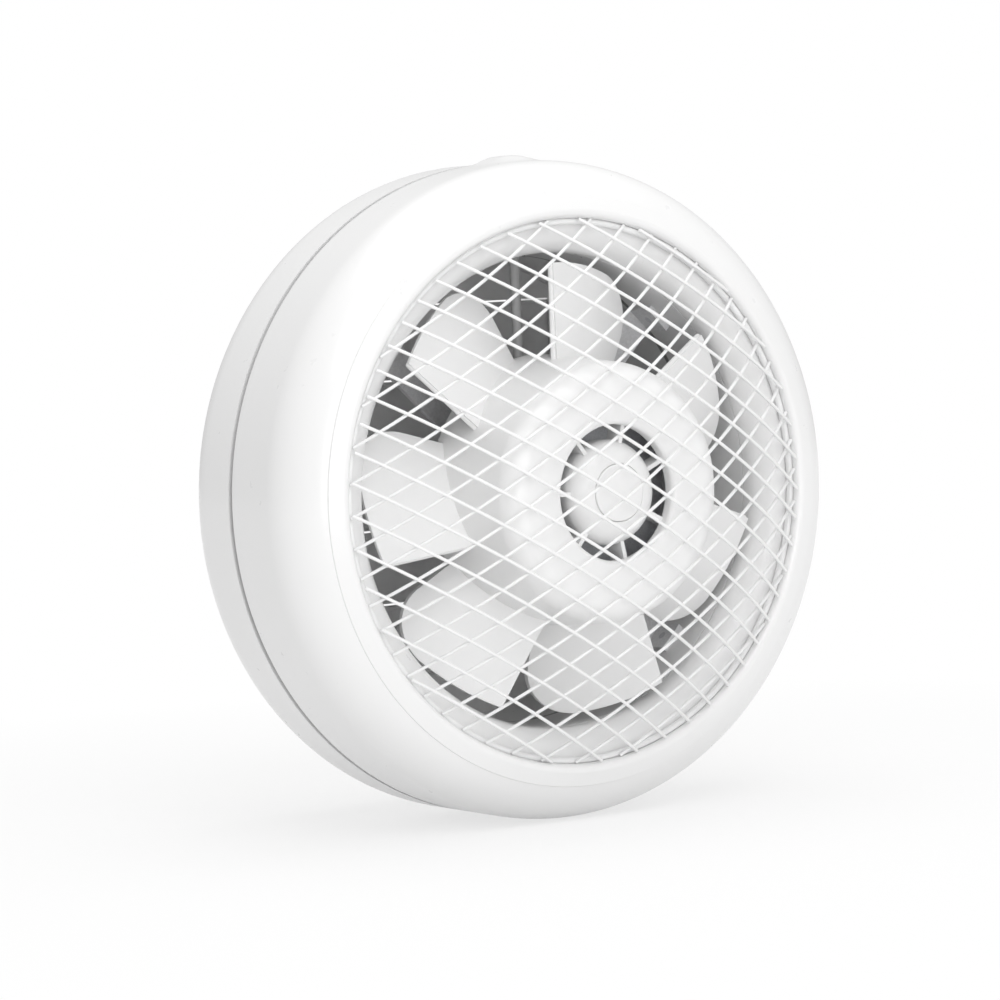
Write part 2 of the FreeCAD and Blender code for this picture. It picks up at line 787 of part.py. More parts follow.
def impeller():
    """Fan wheel in one moulding: hub drum, nose boss on spokes, and blades."""
    shoulder_f = hub_front_f - hub_shoulder
    inner_shoulder = hub_shoulder - hub_wall
    flat_r = hub_front_r - hub_shoulder
    under_f = hub_front_f - hub_wall
    hole_f = hub_front_f - hub_hole_drop
    hub = turned_solid(
        (hub_rear_r, hub_rear_f),
        (hub_front_r, shoulder_f),
        (bend(flat_r, shoulder_f, hub_shoulder, 45), (flat_r, hub_front_f)),
        (hub_hole_r + hub_hole_round, hub_front_f),
        (bend(hub_hole_r + hub_hole_round, hub_front_f - hub_hole_round, hub_hole_round, 135),
         (hub_hole_r, hub_front_f - hub_hole_round)),
        (hub_hole_r, hole_f),
        (hub_hole_r + hub_wall, hole_f),
        (hub_hole_r + hub_wall, under_f),
        (flat_r, under_f),
        (bend(flat_r, shoulder_f, inner_shoulder, 45), (hub_front_r - hub_wall, shoulder_f)),
        (hub_rear_r - hub_wall, hub_rear_f),
    )
    web_f = boss_rear_f + boss_wall
    bulge_r = (boss_r + boss_flat_r) / 2 + (boss_r - boss_flat_r) * boss_bulge_share / 2
    bulge_f = (boss_edge_f + boss_front_f) / 2 + (boss_front_f - boss_edge_f) * boss_bulge_share / 2
    boss = turned_solid(
        (shaft_r + seat_gap, sleeve_rear_f),
        (sleeve_r, sleeve_rear_f),
        (sleeve_r, web_f),
        (boss_r - boss_wall, web_f),
        (boss_r - boss_wall, boss_rear_f),
        (boss_r, boss_rear_f),
        (boss_r, boss_edge_f),
        ((bulge_r, bulge_f), (boss_flat_r, boss_front_f)),
        (cap_r + cap_gap, boss_front_f),
        (cap_r + cap_gap, well_f),
        (sleeve_r, well_f),
        (sleeve_r, sleeve_front_f),
        (shaft_r + seat_gap, sleeve_front_f),
    )
    mouth_f = drive_pin_f()
    slot_half = drive_pin_r + seat_gap
    mouth_reach = drive_pin_length / 2 + seat_gap
    pin_slot = peg(slot_half, -mouth_reach, mouth_reach, mouth_f, 0)
    pin_mouth = block(-mouth_reach, mouth_reach, sleeve_rear_f - overrun, mouth_f, -slot_half, slot_half)
    boss = boss.cut(pin_slot).cut(pin_mouth)
    spokes = []
    for angle in clock(spoke_count, spoke_angle):
        rear_f = boss_rear_f + seat_gap
        reach_r = hub_front_r - hub_wall
        bar = block(boss_r - boss_wall / 2, reach_r, rear_f, rear_f + spoke_depth, -spoke_t / 2, spoke_t / 2)
        spokes.append(around(bar, angle))
    single = blade()
    blades = [around(single, angle) for angle in clock(blade_count, blade_angle)]
    hollow = hub.fuse([boss] + spokes + blades)
    return hollow.removeSplitter()


def hub_cap():
    """Flat round cap in the nose."""
    rear_f = well_f + seat_gap
    front_f = boss_front_f + cap_proud
    cap = drum(cap_r, rear_f, front_f)
    rim = [edge for edge in cap.Edges if abs(edge.CenterOfMass.y + front_f) < seat_gap]
    return cap.makeFillet(cap_edge, rim)


def impeller_washer():
    return sleeve(washer_r, thread_r + seat_gap, sleeve_front_f, sleeve_front_f + washer_t)


def impeller_nut():
    """Nut that holds the impeller on the shaft, under the cap."""
    rear_f = sleeve_front_f + washer_t
    nut = hexagon(prop_nut_across_flats, rear_f, rear_f + prop_nut_t)
    return nut.cut(drum(thread_r + seat_gap, rear_f - overrun, rear_f + prop_nut_t + overrun))


def front_cover():
    """Puffy front cover: skirt, crown, raised collar, rolled lip, guard rebate, bell and finger pull."""
    inner_crown = crown_round - skin
    inner_lip = lip_round - skin
    outer_round = crown_round + collar_step
    half_turn = crown_angle / 2
    crown_end = bend(crown_inner_r, crown_centre_f, crown_round, crown_angle)
    step_top = bend(crown_inner_r, crown_centre_f, outer_round, crown_angle)
    inner_crown_end = bend(crown_inner_r, crown_centre_f, inner_crown, crown_angle)
    lip_start = bend(lip_crest_r, lip_centre_f, lip_round + collar_step, crown_angle)
    lip_side = lip_round + collar_step / 2
    inner_lip_start = bend(lip_crest_r, lip_centre_f, inner_lip, crown_angle)
    shell = turned_solid(
        (casing_r, cover_rear_f),
        (casing_r, crown_centre_f),
        (bend(crown_inner_r, crown_centre_f, crown_round, half_turn), crown_end),
        step_top,
        lip_start,
        (bend(lip_crest_r, lip_centre_f, lip_side, 110), (rebate_r, lip_centre_f)),
        (rebate_r, seat_f),
        (bell_centre_r, seat_f),
        (bend(bell_centre_r, bell_centre_f, bell_round, 135), (throat_r, bell_centre_f)),
        (throat_r, bell_end_f),
        (throat_r + skin, bell_end_f),
        (throat_r + skin, bell_centre_f),
        (bend(bell_centre_r, bell_centre_f, bell_round - skin, 135), (bell_centre_r, seat_f - skin)),
        (rebate_r + skin, seat_f - skin),
        (rebate_r + skin, lip_centre_f),
        (bend(lip_crest_r, lip_centre_f, inner_lip, 110), inner_lip_start),
        inner_crown_end,
        (bend(crown_inner_r, crown_centre_f, inner_crown, half_turn), (casing_r - skin, crown_centre_f)),
        (casing_r - skin, cover_rear_f),
    )
    pull_r = ((pull_width / 2) ** 2 + pull_height ** 2) / (2 * pull_height)
    pull_z = casing_r + pull_height - pull_r
    pull_end_f = cover_rear_f + pull_length
    swell = Part.makeCylinder(pull_r, pull_length, Vector(0, -cover_rear_f, pull_z), FRONT)
    slope_end_r = pull_r - pull_height - skin
    slope = Part.makeCone(pull_r, slope_end_r, pull_slope, Vector(0, -pull_end_f, pull_z), FRONT)
    inside = drum(casing_r - skin / 2, cover_rear_f - overrun, casing_depth)
    swell = swell.fuse(slope).cut(inside)
    cover = fuse_all(shell, [swell])
    pocket = Part.makeCylinder(pull_r - skin, pull_pocket_depth, Vector(0, -cover_rear_f, pull_z), FRONT)
    half = pull_pocket_width / 2
    pocket_front_f = cover_rear_f + pull_pocket_depth
    room = block(-half, half, cover_rear_f, pocket_front_f, casing_r - pull_r, casing_r + pull_r)
    return cover.cut(pocket.common(room))


def guard_sphere():
    """Centre and radius of the ball that the rear wires lie on: it rests on the hoop and meets the apex."""
    front_reach = 3 * guard_wire_r + weld_gap
    rear_apex_f = guard_apex_f - front_reach
    clearance = hoop_wire_r + guard_wire_r + weld_gap
    rise = rear_apex_f - clearance - hoop_f
    hoop_ball_r = (hoop_r ** 2 + rise ** 2) / (2 * rise)
    ball_r = hoop_ball_r + clearance
    return rear_apex_f - ball_r, ball_r


def guard_wire(offset, lean, layer_r, centre_f):
    """One wire: an arc of the ball, in a plane beside the axis."""
    along = outward(lean)
    across = outward(lean + 90)
    arc_r = math.sqrt(layer_r ** 2 - offset ** 2)
    reach = math.sqrt((hoop_r + wire_end_reach) ** 2 - offset ** 2)
    half_angle = math.degrees(math.asin(reach / arc_r))
    pivot = across * offset + Vector(0, -centre_f, 0)
    section = Part.Wire(Part.makeCircle(guard_wire_r, pivot + FRONT * arc_r, along))
    start = Part.Face(section).rotated(pivot, across, -half_angle)
    return start.revolve(pivot, across, 2 * half_angle)


def wire_guard():
    """Domed mesh: falling wires in front, rising wires behind them."""
    centre_f, rear_r = guard_sphere()
    front_r = rear_r + 2 * guard_wire_r + weld_gap
    wires = []
    for lean, layer_r, shift_share in ((-guard_angle, front_r, falling_shift_share),
                                       (guard_angle, rear_r, rising_shift_share)):
        limit = math.sqrt(hoop_r ** 2 - shortest_half_wire ** 2)
        count = math.ceil(limit / guard_pitch)
        for step in range(-count, count + 1):
            offset = (step + shift_share) * guard_pitch
            if abs(offset) < limit:
                wires.append(guard_wire(offset, lean, layer_r, centre_f))
    return Part.makeCompound(wires)


def guard_hoop():
    return Part.makeTorus(hoop_r, hoop_wire_r, Vector(0, -hoop_f, 0), FRONT)


def terminal_block():
    """Three-pole block on the pad above the throat, with a screw foot at each end."""
    half = block_width / 2
    rear_f = block_f - block_depth / 2
    front_f = block_f + block_depth / 2
    foot_half = half + block_foot_width
    base_z = pad_top_z
    body = block(-half, half, rear_f, front_f, base_z, base_z + block_height)
    foot = block(-foot_half, foot_half, block_f - block_foot_width / 2, block_f + block_foot_width / 2,
                 base_z, base_z + block_foot_t)
    body = body.fuse(foot).removeSplitter()
    holes = []
    for x in pole_places():
        top = Vector(x, -block_f, base_z + block_height)
        front = Vector(x, -front_f, base_z + block_height / 2)
        holes.append(Part.makeCylinder(pole_well_r, pole_screw_depth, top, DOWN))
        holes.append(Part.makeCylinder(wire_port_r, wire_port_depth, front, BACK))
    for side in (-1, 1):
        place = Vector(side * block_screw_x(), -block_f, base_z - overrun)
        depth = block_foot_t + 2 * overrun
        holes.append(Part.makeCylinder(block_screw_r + seat_gap, depth, place, UP))
    return cut_all(body, holes)


def pole_places():
    return [pole_pitch * (pole - (pole_count - 1) / 2) for pole in range(pole_count)]


def terminal_screws():
    """Clamp screws in the block's wells."""
    top_z = pad_top_z + block_height
    screws = []
    for x in pole_places():
        base = Vector(x, -block_f, top_z - pole_screw_depth)
        screw = Part.makeCylinder(pole_screw_r, pole_screw_depth / 2, base, UP)
        slot_top = top_z - pole_screw_depth / 2
        slot_half = pole_screw_r / 4
        slot_base = slot_top - pole_screw_r / 2
        left = x - pole_screw_r
        right = x + pole_screw_r
        slot = block(left, right, block_f - slot_half, block_f + slot_half, slot_base, slot_top)
        screws.append(screw.cut(slot))
    return Part.makeCompound(screws)


def block_screws():
    """Screws that hold the terminal block's feet."""
    screws = []
    for side in (-1, 1):
        place = Vector(side * block_screw_x(), -block_f, pad_top_z + block_foot_t)
        screws.append(pan_screw(
            block_screw_r, block_screw_length, block_screw_head_r, block_screw_head_t, place, DOWN))
    return Part.makeCompound(screws)


def motor_lead():
    """Sheathed lead from the terminal block straight down to the motor."""
    return peg(lead_r, motor_r + seat_gap, pad_top_z - seat_gap, block_f, 90)


def lead_grommet():
    """Bush that guards the lead where it passes the throat wall."""
    outer_r = lead_r + lead_grommet_wall
    neck = peg(outer_r, throat_r - lead_grommet_t, pad_top_z - seat_gap, block_f, 90)
    flange = peg(outer_r + lead_grommet_flange, throat_r - lead_grommet_t, throat_r, block_f, 90)
    curve_room = drum(throat_r, block_f - bracket_disc_r, block_f + bracket_disc_r)
    flange = flange.common(curve_room)
    bore = peg(lead_r + seat_gap, throat_r - lead_grommet_t - overrun, pad_top_z + overrun, block_f, 90)
    return fuse_all(neck, [flange]).cut(bore)


def cable_grommet():
    """Grommet in the housing's side where the supply cable enters."""
    sag = entry_flange_r ** 2 / (2 * (casing_r - skin)) + seat_gap
    inner_face_r = casing_r - skin - sag
    outer_face_r = casing_r + seat_gap
    neck = peg(entry_neck_r, inner_face_r, outer_face_r, entry_f, entry_angle)
    inner = peg(entry_flange_r, inner_face_r - entry_flange_t, inner_face_r, entry_f, entry_angle)
    outer = peg(entry_flange_r, outer_face_r, outer_face_r + entry_flange_t, entry_f, entry_angle)
    bore_start_r = inner_face_r - entry_flange_t - overrun
    bore_end_r = outer_face_r + entry_flange_t + overrun
    bore = peg(entry_bore_r, bore_start_r, bore_end_r, entry_f, entry_angle)
    return fuse_all(neck, [inner, outer]).cut(bore)


def build():
    """Every piece under its node's name."""
    pieces = {
        "rear_housing": rear_housing(),
        "wall_gasket": wall_gasket(),
        "shutter_frame": shutter_frame(),
        "shutter_screws": shutter_screws(),
        "motor_bracket": motor_bracket(),
        "bracket_screws": bracket_screws(),
        "motor_screws": motor_screws(),
        "motor_rear_bell": motor_bell(False),
        "motor_front_bell": motor_bell(True),
        "motor_bolts": motor_bolts(),
        "motor_nuts": motor_nuts(),
        "stator_core": stator_core(),
        "stator_winding": stator_winding(),
        "rear_bearing": bearing(motor_rear_f + motor_wall),
        "front_bearing": bearing(motor_front_f - motor_wall - bearing_width),
        "rotor_core": rotor_core(),
        "motor_shaft": motor_shaft(),
        "drive_pin": drive_pin(),
        "impeller": impeller(),
        "impeller_washer": impeller_washer(),
        "impeller_nut": impeller_nut(),
        "hub_cap": hub_cap(),
        "front_cover": front_cover(),
        "wire_guard": wire_guard(),
        "guard_hoop": guard_hoop(),
        "terminal_block": terminal_block(),
        "terminal_screws": terminal_screws(),
        "block_screws": block_screws(),
        "motor_lead": motor_lead(),
        "lead_grommet": lead_grommet(),
        "cable_grommet": cable_grommet(),
    }
    for row, (row_top, half) in enumerate(flap_rows(), start=1):
        pieces["shutter_flap_%d" % row] = shutter_flap(row_top, half)
    return pieces


os.makedirs("parts", exist_ok=True)
for name, shape in build().items():
    shape.exportStep("parts/%s.step" % name)
    facts = (name, len(shape.Solids), shape.Volume, shape.isValid())
    print("%-18s solids %2d  volume %10.1f  valid %s" % facts)
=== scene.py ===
import json
import math

import bmesh
import bpy
from mathutils import Matrix, Vector


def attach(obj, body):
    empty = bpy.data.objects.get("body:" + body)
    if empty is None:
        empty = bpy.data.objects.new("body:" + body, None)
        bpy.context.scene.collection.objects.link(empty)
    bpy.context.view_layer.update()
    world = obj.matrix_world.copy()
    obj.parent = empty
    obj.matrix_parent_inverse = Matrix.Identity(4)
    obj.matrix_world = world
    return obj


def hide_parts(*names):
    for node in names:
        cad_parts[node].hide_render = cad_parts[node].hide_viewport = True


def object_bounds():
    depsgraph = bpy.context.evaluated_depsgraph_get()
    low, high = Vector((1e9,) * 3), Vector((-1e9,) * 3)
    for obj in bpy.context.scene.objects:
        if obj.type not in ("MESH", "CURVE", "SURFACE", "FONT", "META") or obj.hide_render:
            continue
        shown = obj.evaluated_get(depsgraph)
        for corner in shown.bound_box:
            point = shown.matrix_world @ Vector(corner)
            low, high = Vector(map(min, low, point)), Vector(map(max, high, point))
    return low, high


# Wall exhaust fan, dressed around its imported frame. Metres; the front faces -Y.
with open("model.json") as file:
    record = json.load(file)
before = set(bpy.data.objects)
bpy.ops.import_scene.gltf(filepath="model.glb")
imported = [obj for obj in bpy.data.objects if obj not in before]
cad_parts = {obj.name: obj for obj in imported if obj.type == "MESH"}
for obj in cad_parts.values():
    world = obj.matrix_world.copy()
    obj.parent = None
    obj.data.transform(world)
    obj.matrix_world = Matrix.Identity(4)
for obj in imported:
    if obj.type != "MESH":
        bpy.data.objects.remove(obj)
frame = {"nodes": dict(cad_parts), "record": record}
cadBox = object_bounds()
nodes = frame["nodes"]
mm = 0.001
print("frame loaded:", len(nodes), "nodes")


# A socket with arithmetic: every expression adds Math nodes to its tree
class Sock:
    def __init__(self, tree, socket):
        self.tree = tree
        self.socket = socket

    def math(self, operation, *others):
        values = {0: self}
        values.update({place + 1: value for place, value in enumerate(others)})
        return self.tree.add("ShaderNodeMath", {"operation": operation}, values).out(0)

    def __add__(self, other):
        return self.math("ADD", other)

    __radd__ = __add__

    def __mul__(self, other):
        return self.math("MULTIPLY", other)

    __rmul__ = __mul__

    def __sub__(self, other):
        return self.math("SUBTRACT", other)

    def __rsub__(self, other):
        return (self * -1.0).math("ADD", other)

    def __truediv__(self, other):
        return self.math("DIVIDE", other)

    def root(self):
        return self.math("SQRT")

    def clamped(self, low=0.0, high=1.0):
        return self.math("MAXIMUM", low).math("MINIMUM", high)

    def between(self, low, high):
        return ((self - low) / (high - low)).clamped()


class NodeOut:
    def __init__(self, tree, node):
        self.tree = tree
        self.node = node

    def out(self, key=0):
        return Sock(self.tree, self.node.outputs[key])


class Tree:
    def __init__(self, tree):
        self.tree = tree

    # One way to add any node: its type, its settings first, then values or links for its sockets
    def add(self, kind, settings=None, sockets=None):
        node = self.tree.nodes.new(kind)
        for key, value in (settings or {}).items():
            setattr(node, key, value)
        for key, value in (sockets or {}).items():
            if isinstance(value, Sock):
                self.tree.links.new(value.socket, node.inputs[key])
            else:
                node.inputs[key].default_value = value
        return NodeOut(self, node)

    def mixColour(self, factor, first, second):
        mixed = self.add("ShaderNodeMix", {"data_type": "RGBA"}, {0: factor, 6: first, 7: second})
        return mixed.out(2)

    def noise(self, vector, size, detail, rough=0.5):
        sockets = {"Vector": vector, "Scale": 1.0 / size, "Detail": detail, "Roughness": rough}
        return self.add("ShaderNodeTexNoise", None, sockets).out("Fac")

    def bump(self, height, distance, strength):
        sockets = {"Height": height, "Distance": distance, "Strength": strength}
        return self.add("ShaderNodeBump", None, sockets).out(0)


def rgba(grey, warm=0.0):
    return (grey + warm, grey, grey - warm, 1.0)


# Starts a material: its tree, its shader and Object coordinates
def newFinish(name):
    material = bpy.data.materials.new(name)
    material.use_nodes = True
    material.node_tree.nodes.clear()
    tree = Tree(material.node_tree)
    shader = tree.add("ShaderNodeBsdfPrincipled")
    tree.add("ShaderNodeOutputMaterial", None, {"Surface": shader.out("BSDF")})
    place = tree.add("ShaderNodeTexCoord").out("Object")
    return material, tree, shader.node, place


def link(tree, shader, name, value):
    tree.tree.links.new(value.socket, shader.inputs[name])


# Moulded plastic: soft cloudy tone, faint flow marks and orange peel; on the casing, painted shade in the
# seam groove
mouldedBase = {"cloudSize": 55 * mm, "flowSize": 9 * mm, "flowDetail": 4.0, "flowRough": 0.6, "fine": 2.0,
               "grainShare": 0.22, "cloudPart": 0.75, "flowPart": 0.25, "toneLow": 0.3, "toneHigh": 0.7,
               "roughLow": 0.05, "ior": 1.49, "coatRough": 0.12, "peelPart": 0.8, "grainPart": 0.2,
               "bump": 0.6}
mouldedFinishes = {
    # casing_plastic's seam grey is painted shade, laid in the groove between housing and cover
    "casing_plastic": {"grey": 0.85, "warm": 0.001, "cloud": 0.005, "rough": 0.28, "roughSpread": 0.03,
                       "peelSize": 1.6 * mm, "peelDepth": 0.002 * mm, "coat": 0.25, "seam": 0.30},
    "impeller_plastic": {"grey": 0.88, "warm": 0.001, "cloud": 0.006, "rough": 0.38, "roughSpread": 0.04,
                         "peelSize": 1.2 * mm, "peelDepth": 0.003 * mm, "coat": 0.08},
    "cap_plastic": {"grey": 0.88, "warm": 0.001, "cloud": 0.006, "rough": 0.34, "roughSpread": 0.04,
                    "peelSize": 1.0 * mm, "peelDepth": 0.003 * mm, "coat": 0.12},
    "shutter_plastic": {"grey": 0.88, "warm": 0.000, "cloud": 0.010, "rough": 0.42, "roughSpread": 0.06,
                        "peelSize": 1.0 * mm, "peelDepth": 0.010 * mm, "coat": 0.10},
    "terminal_plastic": {"grey": 0.66, "warm": 0.060, "cloud": 0.030, "rough": 0.45, "roughSpread": 0.12,
                         "peelSize": 0.8 * mm, "peelDepth": 0.015 * mm, "coat": 0.0},
    "lead_sheath": {"grey": 0.55, "warm": 0.0, "cloud": 0.030, "rough": 0.48, "roughSpread": 0.12,
                    "peelSize": 0.6 * mm, "peelDepth": 0.015 * mm, "coat": 0.0},
}

# The groove between the housing and the cover, where painted shade darkens the plastic's colour
seam = {"rear": 44.6 * mm, "front": 47.8 * mm, "depthR": 155.3 * mm, "soft": 0.5 * mm}


# Mask of the groove band where the casing's colour is darkened as painted shade
def seamMask(tree, place):
    parts = tree.add("ShaderNodeSeparateXYZ", None, {0: place})
    forward = parts.out("Y") * -1.0
    r = (parts.out("X") * parts.out("X") + parts.out("Z") * parts.out("Z")).root()
    inside = forward.between(seam["rear"], seam["rear"] + seam["soft"])
    inside = inside * (1.0 - forward.between(seam["front"] - seam["soft"], seam["front"]))
    return inside * (1.0 - r.between(seam["depthR"] - seam["soft"], seam["depthR"]))


def mouldedPlastic(name):
    look, base = mouldedFinishes[name], mouldedBase
    material, tree, shader, place = newFinish(name)
    cloud = tree.noise(place, base["cloudSize"], base["fine"])
    flow = tree.noise(place, base["flowSize"], base["flowDetail"], base["flowRough"])
    peel = tree.noise(place, look["peelSize"], base["fine"])
    grain = tree.noise(place, look["peelSize"] * base["grainShare"], base["fine"])
    dark = rgba(look["grey"] - look["cloud"], look["warm"])
    light = rgba(look["grey"] + look["cloud"], look["warm"])
    mottle = cloud * base["cloudPart"] + flow * base["flowPart"]
    tone = tree.mixColour(mottle.between(base["toneLow"], base["toneHigh"]), dark, light)
    # Painted shade: the casing colour is mixed towards a dark grey inside the seam groove
    if "seam" in look:
        tone = tree.mixColour(seamMask(tree, place), tone, rgba(look["seam"]))
    link(tree, shader, "Base Color", tone)
    rough = look["rough"] + look["roughSpread"] * (flow - 0.5)
    link(tree, shader, "Roughness", rough.clamped(base["roughLow"], 1.0))
    shader.inputs["IOR"].default_value = base["ior"]
    shader.inputs["Coat Weight"].default_value = look["coat"]
    shader.inputs["Coat Roughness"].default_value = base["coatRough"]
    height = peel * base["peelPart"] + grain * base["grainPart"]
    link(tree, shader, "Normal", tree.bump(height, look["peelDepth"], base["bump"]))
    return material


# Plastic coat on wire: soft, a little lumpy, thicker and duller in places
coatLook = {"grey": 0.88, "darker": 0.03, "lighter": 0.02, "toneSize": 14 * mm, "toneDetail": 2.0,
            "rough": 0.30, "roughSpread": 0.12, "roughLow": 0.1, "roughHigh": 0.9, "coat": 0.2,
            "lump": 3.0 * mm, "lumpDetail": 3.0, "lumpDepth": 0.05 * mm, "bump": 0.5}


def coatedWire(name):
    look = coatLook
    material, tree, shader, place = newFinish(name)
    lump = tree.noise(place, look["lump"], look["lumpDetail"])
    tone = tree.noise(place, look["toneSize"], look["toneDetail"])
    colour = tree.mixColour(tone, rgba(look["grey"] - look["darker"]), rgba(look["grey"] + look["lighter"]))
    link(tree, shader, "Base Color", colour)
    rough = look["rough"] + look["roughSpread"] * (lump - 0.5)
    link(tree, shader, "Roughness", rough.clamped(look["roughLow"], look["roughHigh"]))
    shader.inputs["Coat Weight"].default_value = look["coat"]
    link(tree, shader, "Normal", tree.bump(lump, look["lumpDepth"], look["bump"]))
    return material


# Metals and painted metal: colour, gloss, and how their marks run
metalBase = {"markDetail": 4.0, "markRough": 0.6, "stainSize": 12 * mm, "stainDetail": 3.0, "worn": 1.18,
             "dull": 0.80, "markPart": 0.6, "stainPart": 0.4, "toneLow": 0.25, "toneHigh": 0.75,
             "markGloss": 0.20, "stainGloss": 0.15, "roughLow": 0.08, "roughHigh": 0.9, "bump": 0.7}
metalFinishes = {
    "motor_case": {"colour": (0.74, 0.75, 0.77, 1), "metal": 1.0, "rough": 0.65, "marks": (1, 1, 1),
                   "grain": 0.7 * mm, "depth": 0.04 * mm},
    "screw_steel": {"colour": (0.58, 0.58, 0.60, 1), "metal": 1.0, "rough": 0.30, "marks": (1, 8, 1),
                    "grain": 1.2 * mm, "depth": 0.01 * mm},
    "core_steel": {"colour": (0.30, 0.30, 0.32, 1), "metal": 1.0, "rough": 0.45, "marks": (0.02, 1, 0.02),
                   "grain": 0.9 * mm, "depth": 0.06 * mm},
    "winding_copper": {"colour": (0.50, 0.21, 0.08, 1), "metal": 0.9, "rough": 0.33, "marks": (1, 0.2, 1),
                       "grain": 1.1 * mm, "depth": 0.25 * mm},
    "bearing_steel": {"colour": (0.62, 0.62, 0.64, 1), "metal": 1.0, "rough": 0.20, "marks": (1, 10, 1),
                      "grain": 1.0 * mm, "depth": 0.006 * mm},
    "terminal_brass": {"colour": (0.66, 0.46, 0.18, 1), "metal": 1.0, "rough": 0.32, "marks": (1, 1, 4),
                       "grain": 0.8 * mm, "depth": 0.01 * mm},
    "bracket_paint": {"colour": (0.78, 0.78, 0.79, 1), "metal": 0.0, "rough": 0.42, "marks": (1, 1, 1),
                      "grain": 1.4 * mm, "depth": 0.02 * mm},
}


def metalFinish(name):
    look, base = metalFinishes[name], metalBase
    material, tree, shader, place = newFinish(name)
    mapped = tree.add("ShaderNodeMapping", None, {"Vector": place, "Scale": look["marks"]}).out(0)
    marks = tree.noise(mapped, look["grain"], base["markDetail"], base["markRough"])
    stain = tree.noise(place, base["stainSize"], base["stainDetail"])
    colour = look["colour"]
    worn = tuple(min(1.0, part * base["worn"]) for part in colour[:3]) + (1,)
    dull = tuple(part * base["dull"] for part in colour[:3]) + (1,)
    mottle = marks * base["markPart"] + stain * base["stainPart"]
    tone = tree.mixColour(mottle.between(base["toneLow"], base["toneHigh"]), dull, worn)
    link(tree, shader, "Base Color", tone)
    rough = look["rough"] + base["markGloss"] * (marks - 0.5) + base["stainGloss"] * (stain - 0.5)
    link(tree, shader, "Roughness", rough.clamped(base["roughLow"], base["roughHigh"]))
    shader.inputs["Metallic"].default_value = look["metal"]
    link(tree, shader, "Normal", tree.bump(marks, look["depth"], base["bump"]))
    return material


# Foam and rubber: dark, matt, with open cells or a fine matt skin
softBase = {"bloomSize": 8 * mm, "bloomDetail": 3.0, "darker": 0.8, "lighter": 1.5, "roughSpread": 0.10,
            "roughLow": 0.2, "bump": 0.8}
softFinishes = {
    "gasket_foam": {"grey": 0.035, "cell": 0.7 * mm, "depth": 0.25 * mm, "rough": 0.92},
    "grommet_rubber": {"grey": 0.030, "cell": 0.3 * mm, "depth": 0.02 * mm, "rough": 0.62},
}


def softFinish(name):
    look, base = softFinishes[name], softBase
    material, tree, shader, place = newFinish(name)
    cellSockets = {"Vector": place, "Scale": 1.0 / look["cell"]}
    cells = tree.add("ShaderNodeTexVoronoi", None, cellSockets).out("Distance")
    bloom = tree.noise(place, base["bloomSize"], base["bloomDetail"])
    colour = tree.mixColour(bloom, rgba(look["grey"] * base["darker"]), rgba(look["grey"] * base["lighter"]))
    link(tree, shader, "Base Color", colour)
    rough = look["rough"] + base["roughSpread"] * (bloom - 0.5)
    link(tree, shader, "Roughness", rough.clamped(base["roughLow"], 1.0))
    link(tree, shader, "Normal", tree.bump(cells, look["depth"], base["bump"]))
    return material


finishes = {}
for looks, maker in ((mouldedFinishes, mouldedPlastic), (metalFinishes, metalFinish),
                     (softFinishes, softFinish)):
    for finishName in looks:
        finishes[finishName] = maker(finishName)
finishes["guard_wire"] = coatedWire("guard_wire")
print("finishes:", len(finishes))

# Every node takes the finish of its slot in the record
slotOf = {row["node"]: row["material_slot"] for row in frame["record"]["subparts"]}
bodyOf = {node: body for body, names in frame["record"]["behaviour"]["bodies"].items() for node in names}
for nodeName, node in nodes.items():
    for materialSlot in node.material_slots:
        materialSlot.material = finishes[slotOf[nodeName]]


# A finished piece: linked, ridden, slotted, and standing for its node
def addPiece(name, mesh, nodeName, *others):
    piece = bpy.data.objects.new(name, mesh)
    bpy.context.scene.collection.objects.link(piece)
    if not mesh.materials:
        mesh.materials.append(finishes[slotOf[nodeName]])
    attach(piece, bodyOf[nodeName])
    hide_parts(nodeName, *others)


# Faces that meet at more than these angles keep a crisp edge
smoothing = {"mergeGap": 0.002 * mm, "copySharp": 32.0, "madeSharp": 40.0}


# A merged copy of a node's mesh with smooth curved faces and crisp corners
def smoothCopy(nodeName):
    mesh = nodes[nodeName].data.copy()
    mesh.materials.clear()
    work = bmesh.new()
    work.from_mesh(mesh)
    bmesh.ops.remove_doubles(work, verts=work.verts, dist=smoothing["mergeGap"])
    for face in work.faces:
        face.smooth = True
    work.to_mesh(mesh)
    work.free()
    if mesh.has_custom_normals:
        mesh.attributes.remove(mesh.attributes["custom_normal"])
    mesh.set_sharp_from_angle(angle=math.radians(smoothing["copySharp"]))
    addPiece(nodeName + "_skin", mesh, nodeName)


for nodeName in ("rear_housing", "shutter_frame", "motor_bracket", "motor_rear_bell", "motor_front_bell",
                 "terminal_block", "cable_grommet", "wall_gasket"):
    smoothCopy(nodeName)
print("smooth copies done")


# Profile of a turned piece: corners are (radius, front, corner round), arcs are sampled
cornerLook = {"steps": 4, "sideShare": 0.45}


def arcPoints(centreR, centreF, radius, startDeg, endDeg, steps):
    points = []
    for step in range(steps + 1):
        angle = math.radians(startDeg + (endDeg - startDeg) * step / steps)
        points.append((centreR + radius * math.cos(angle), centreF + radius * math.sin(angle), 0.0))
    return points


def roundedProfile(corners):
    profile = []
    count, steps, sideShare = len(corners), cornerLook["steps"], cornerLook["sideShare"]
    for place, (r, f, rounding) in enumerate(corners):
        here = Vector((r, f))
        before = Vector(corners[place - 1][:2])
        after = Vector(corners[(place + 1) % count][:2])
        if not rounding:
            profile.append(here)
            continue
        inDir = (before - here).normalized()
        outDir = (after - here).normalized()
        reach = min(rounding, (before - here).length * sideShare, (after - here).length * sideShare)
        for step in range(steps + 1):
            share = step / steps
            first = here + inDir * reach * (1 - share)
            second = here + outDir * reach * share
            profile.append(first.lerp(second, share))
    return profile


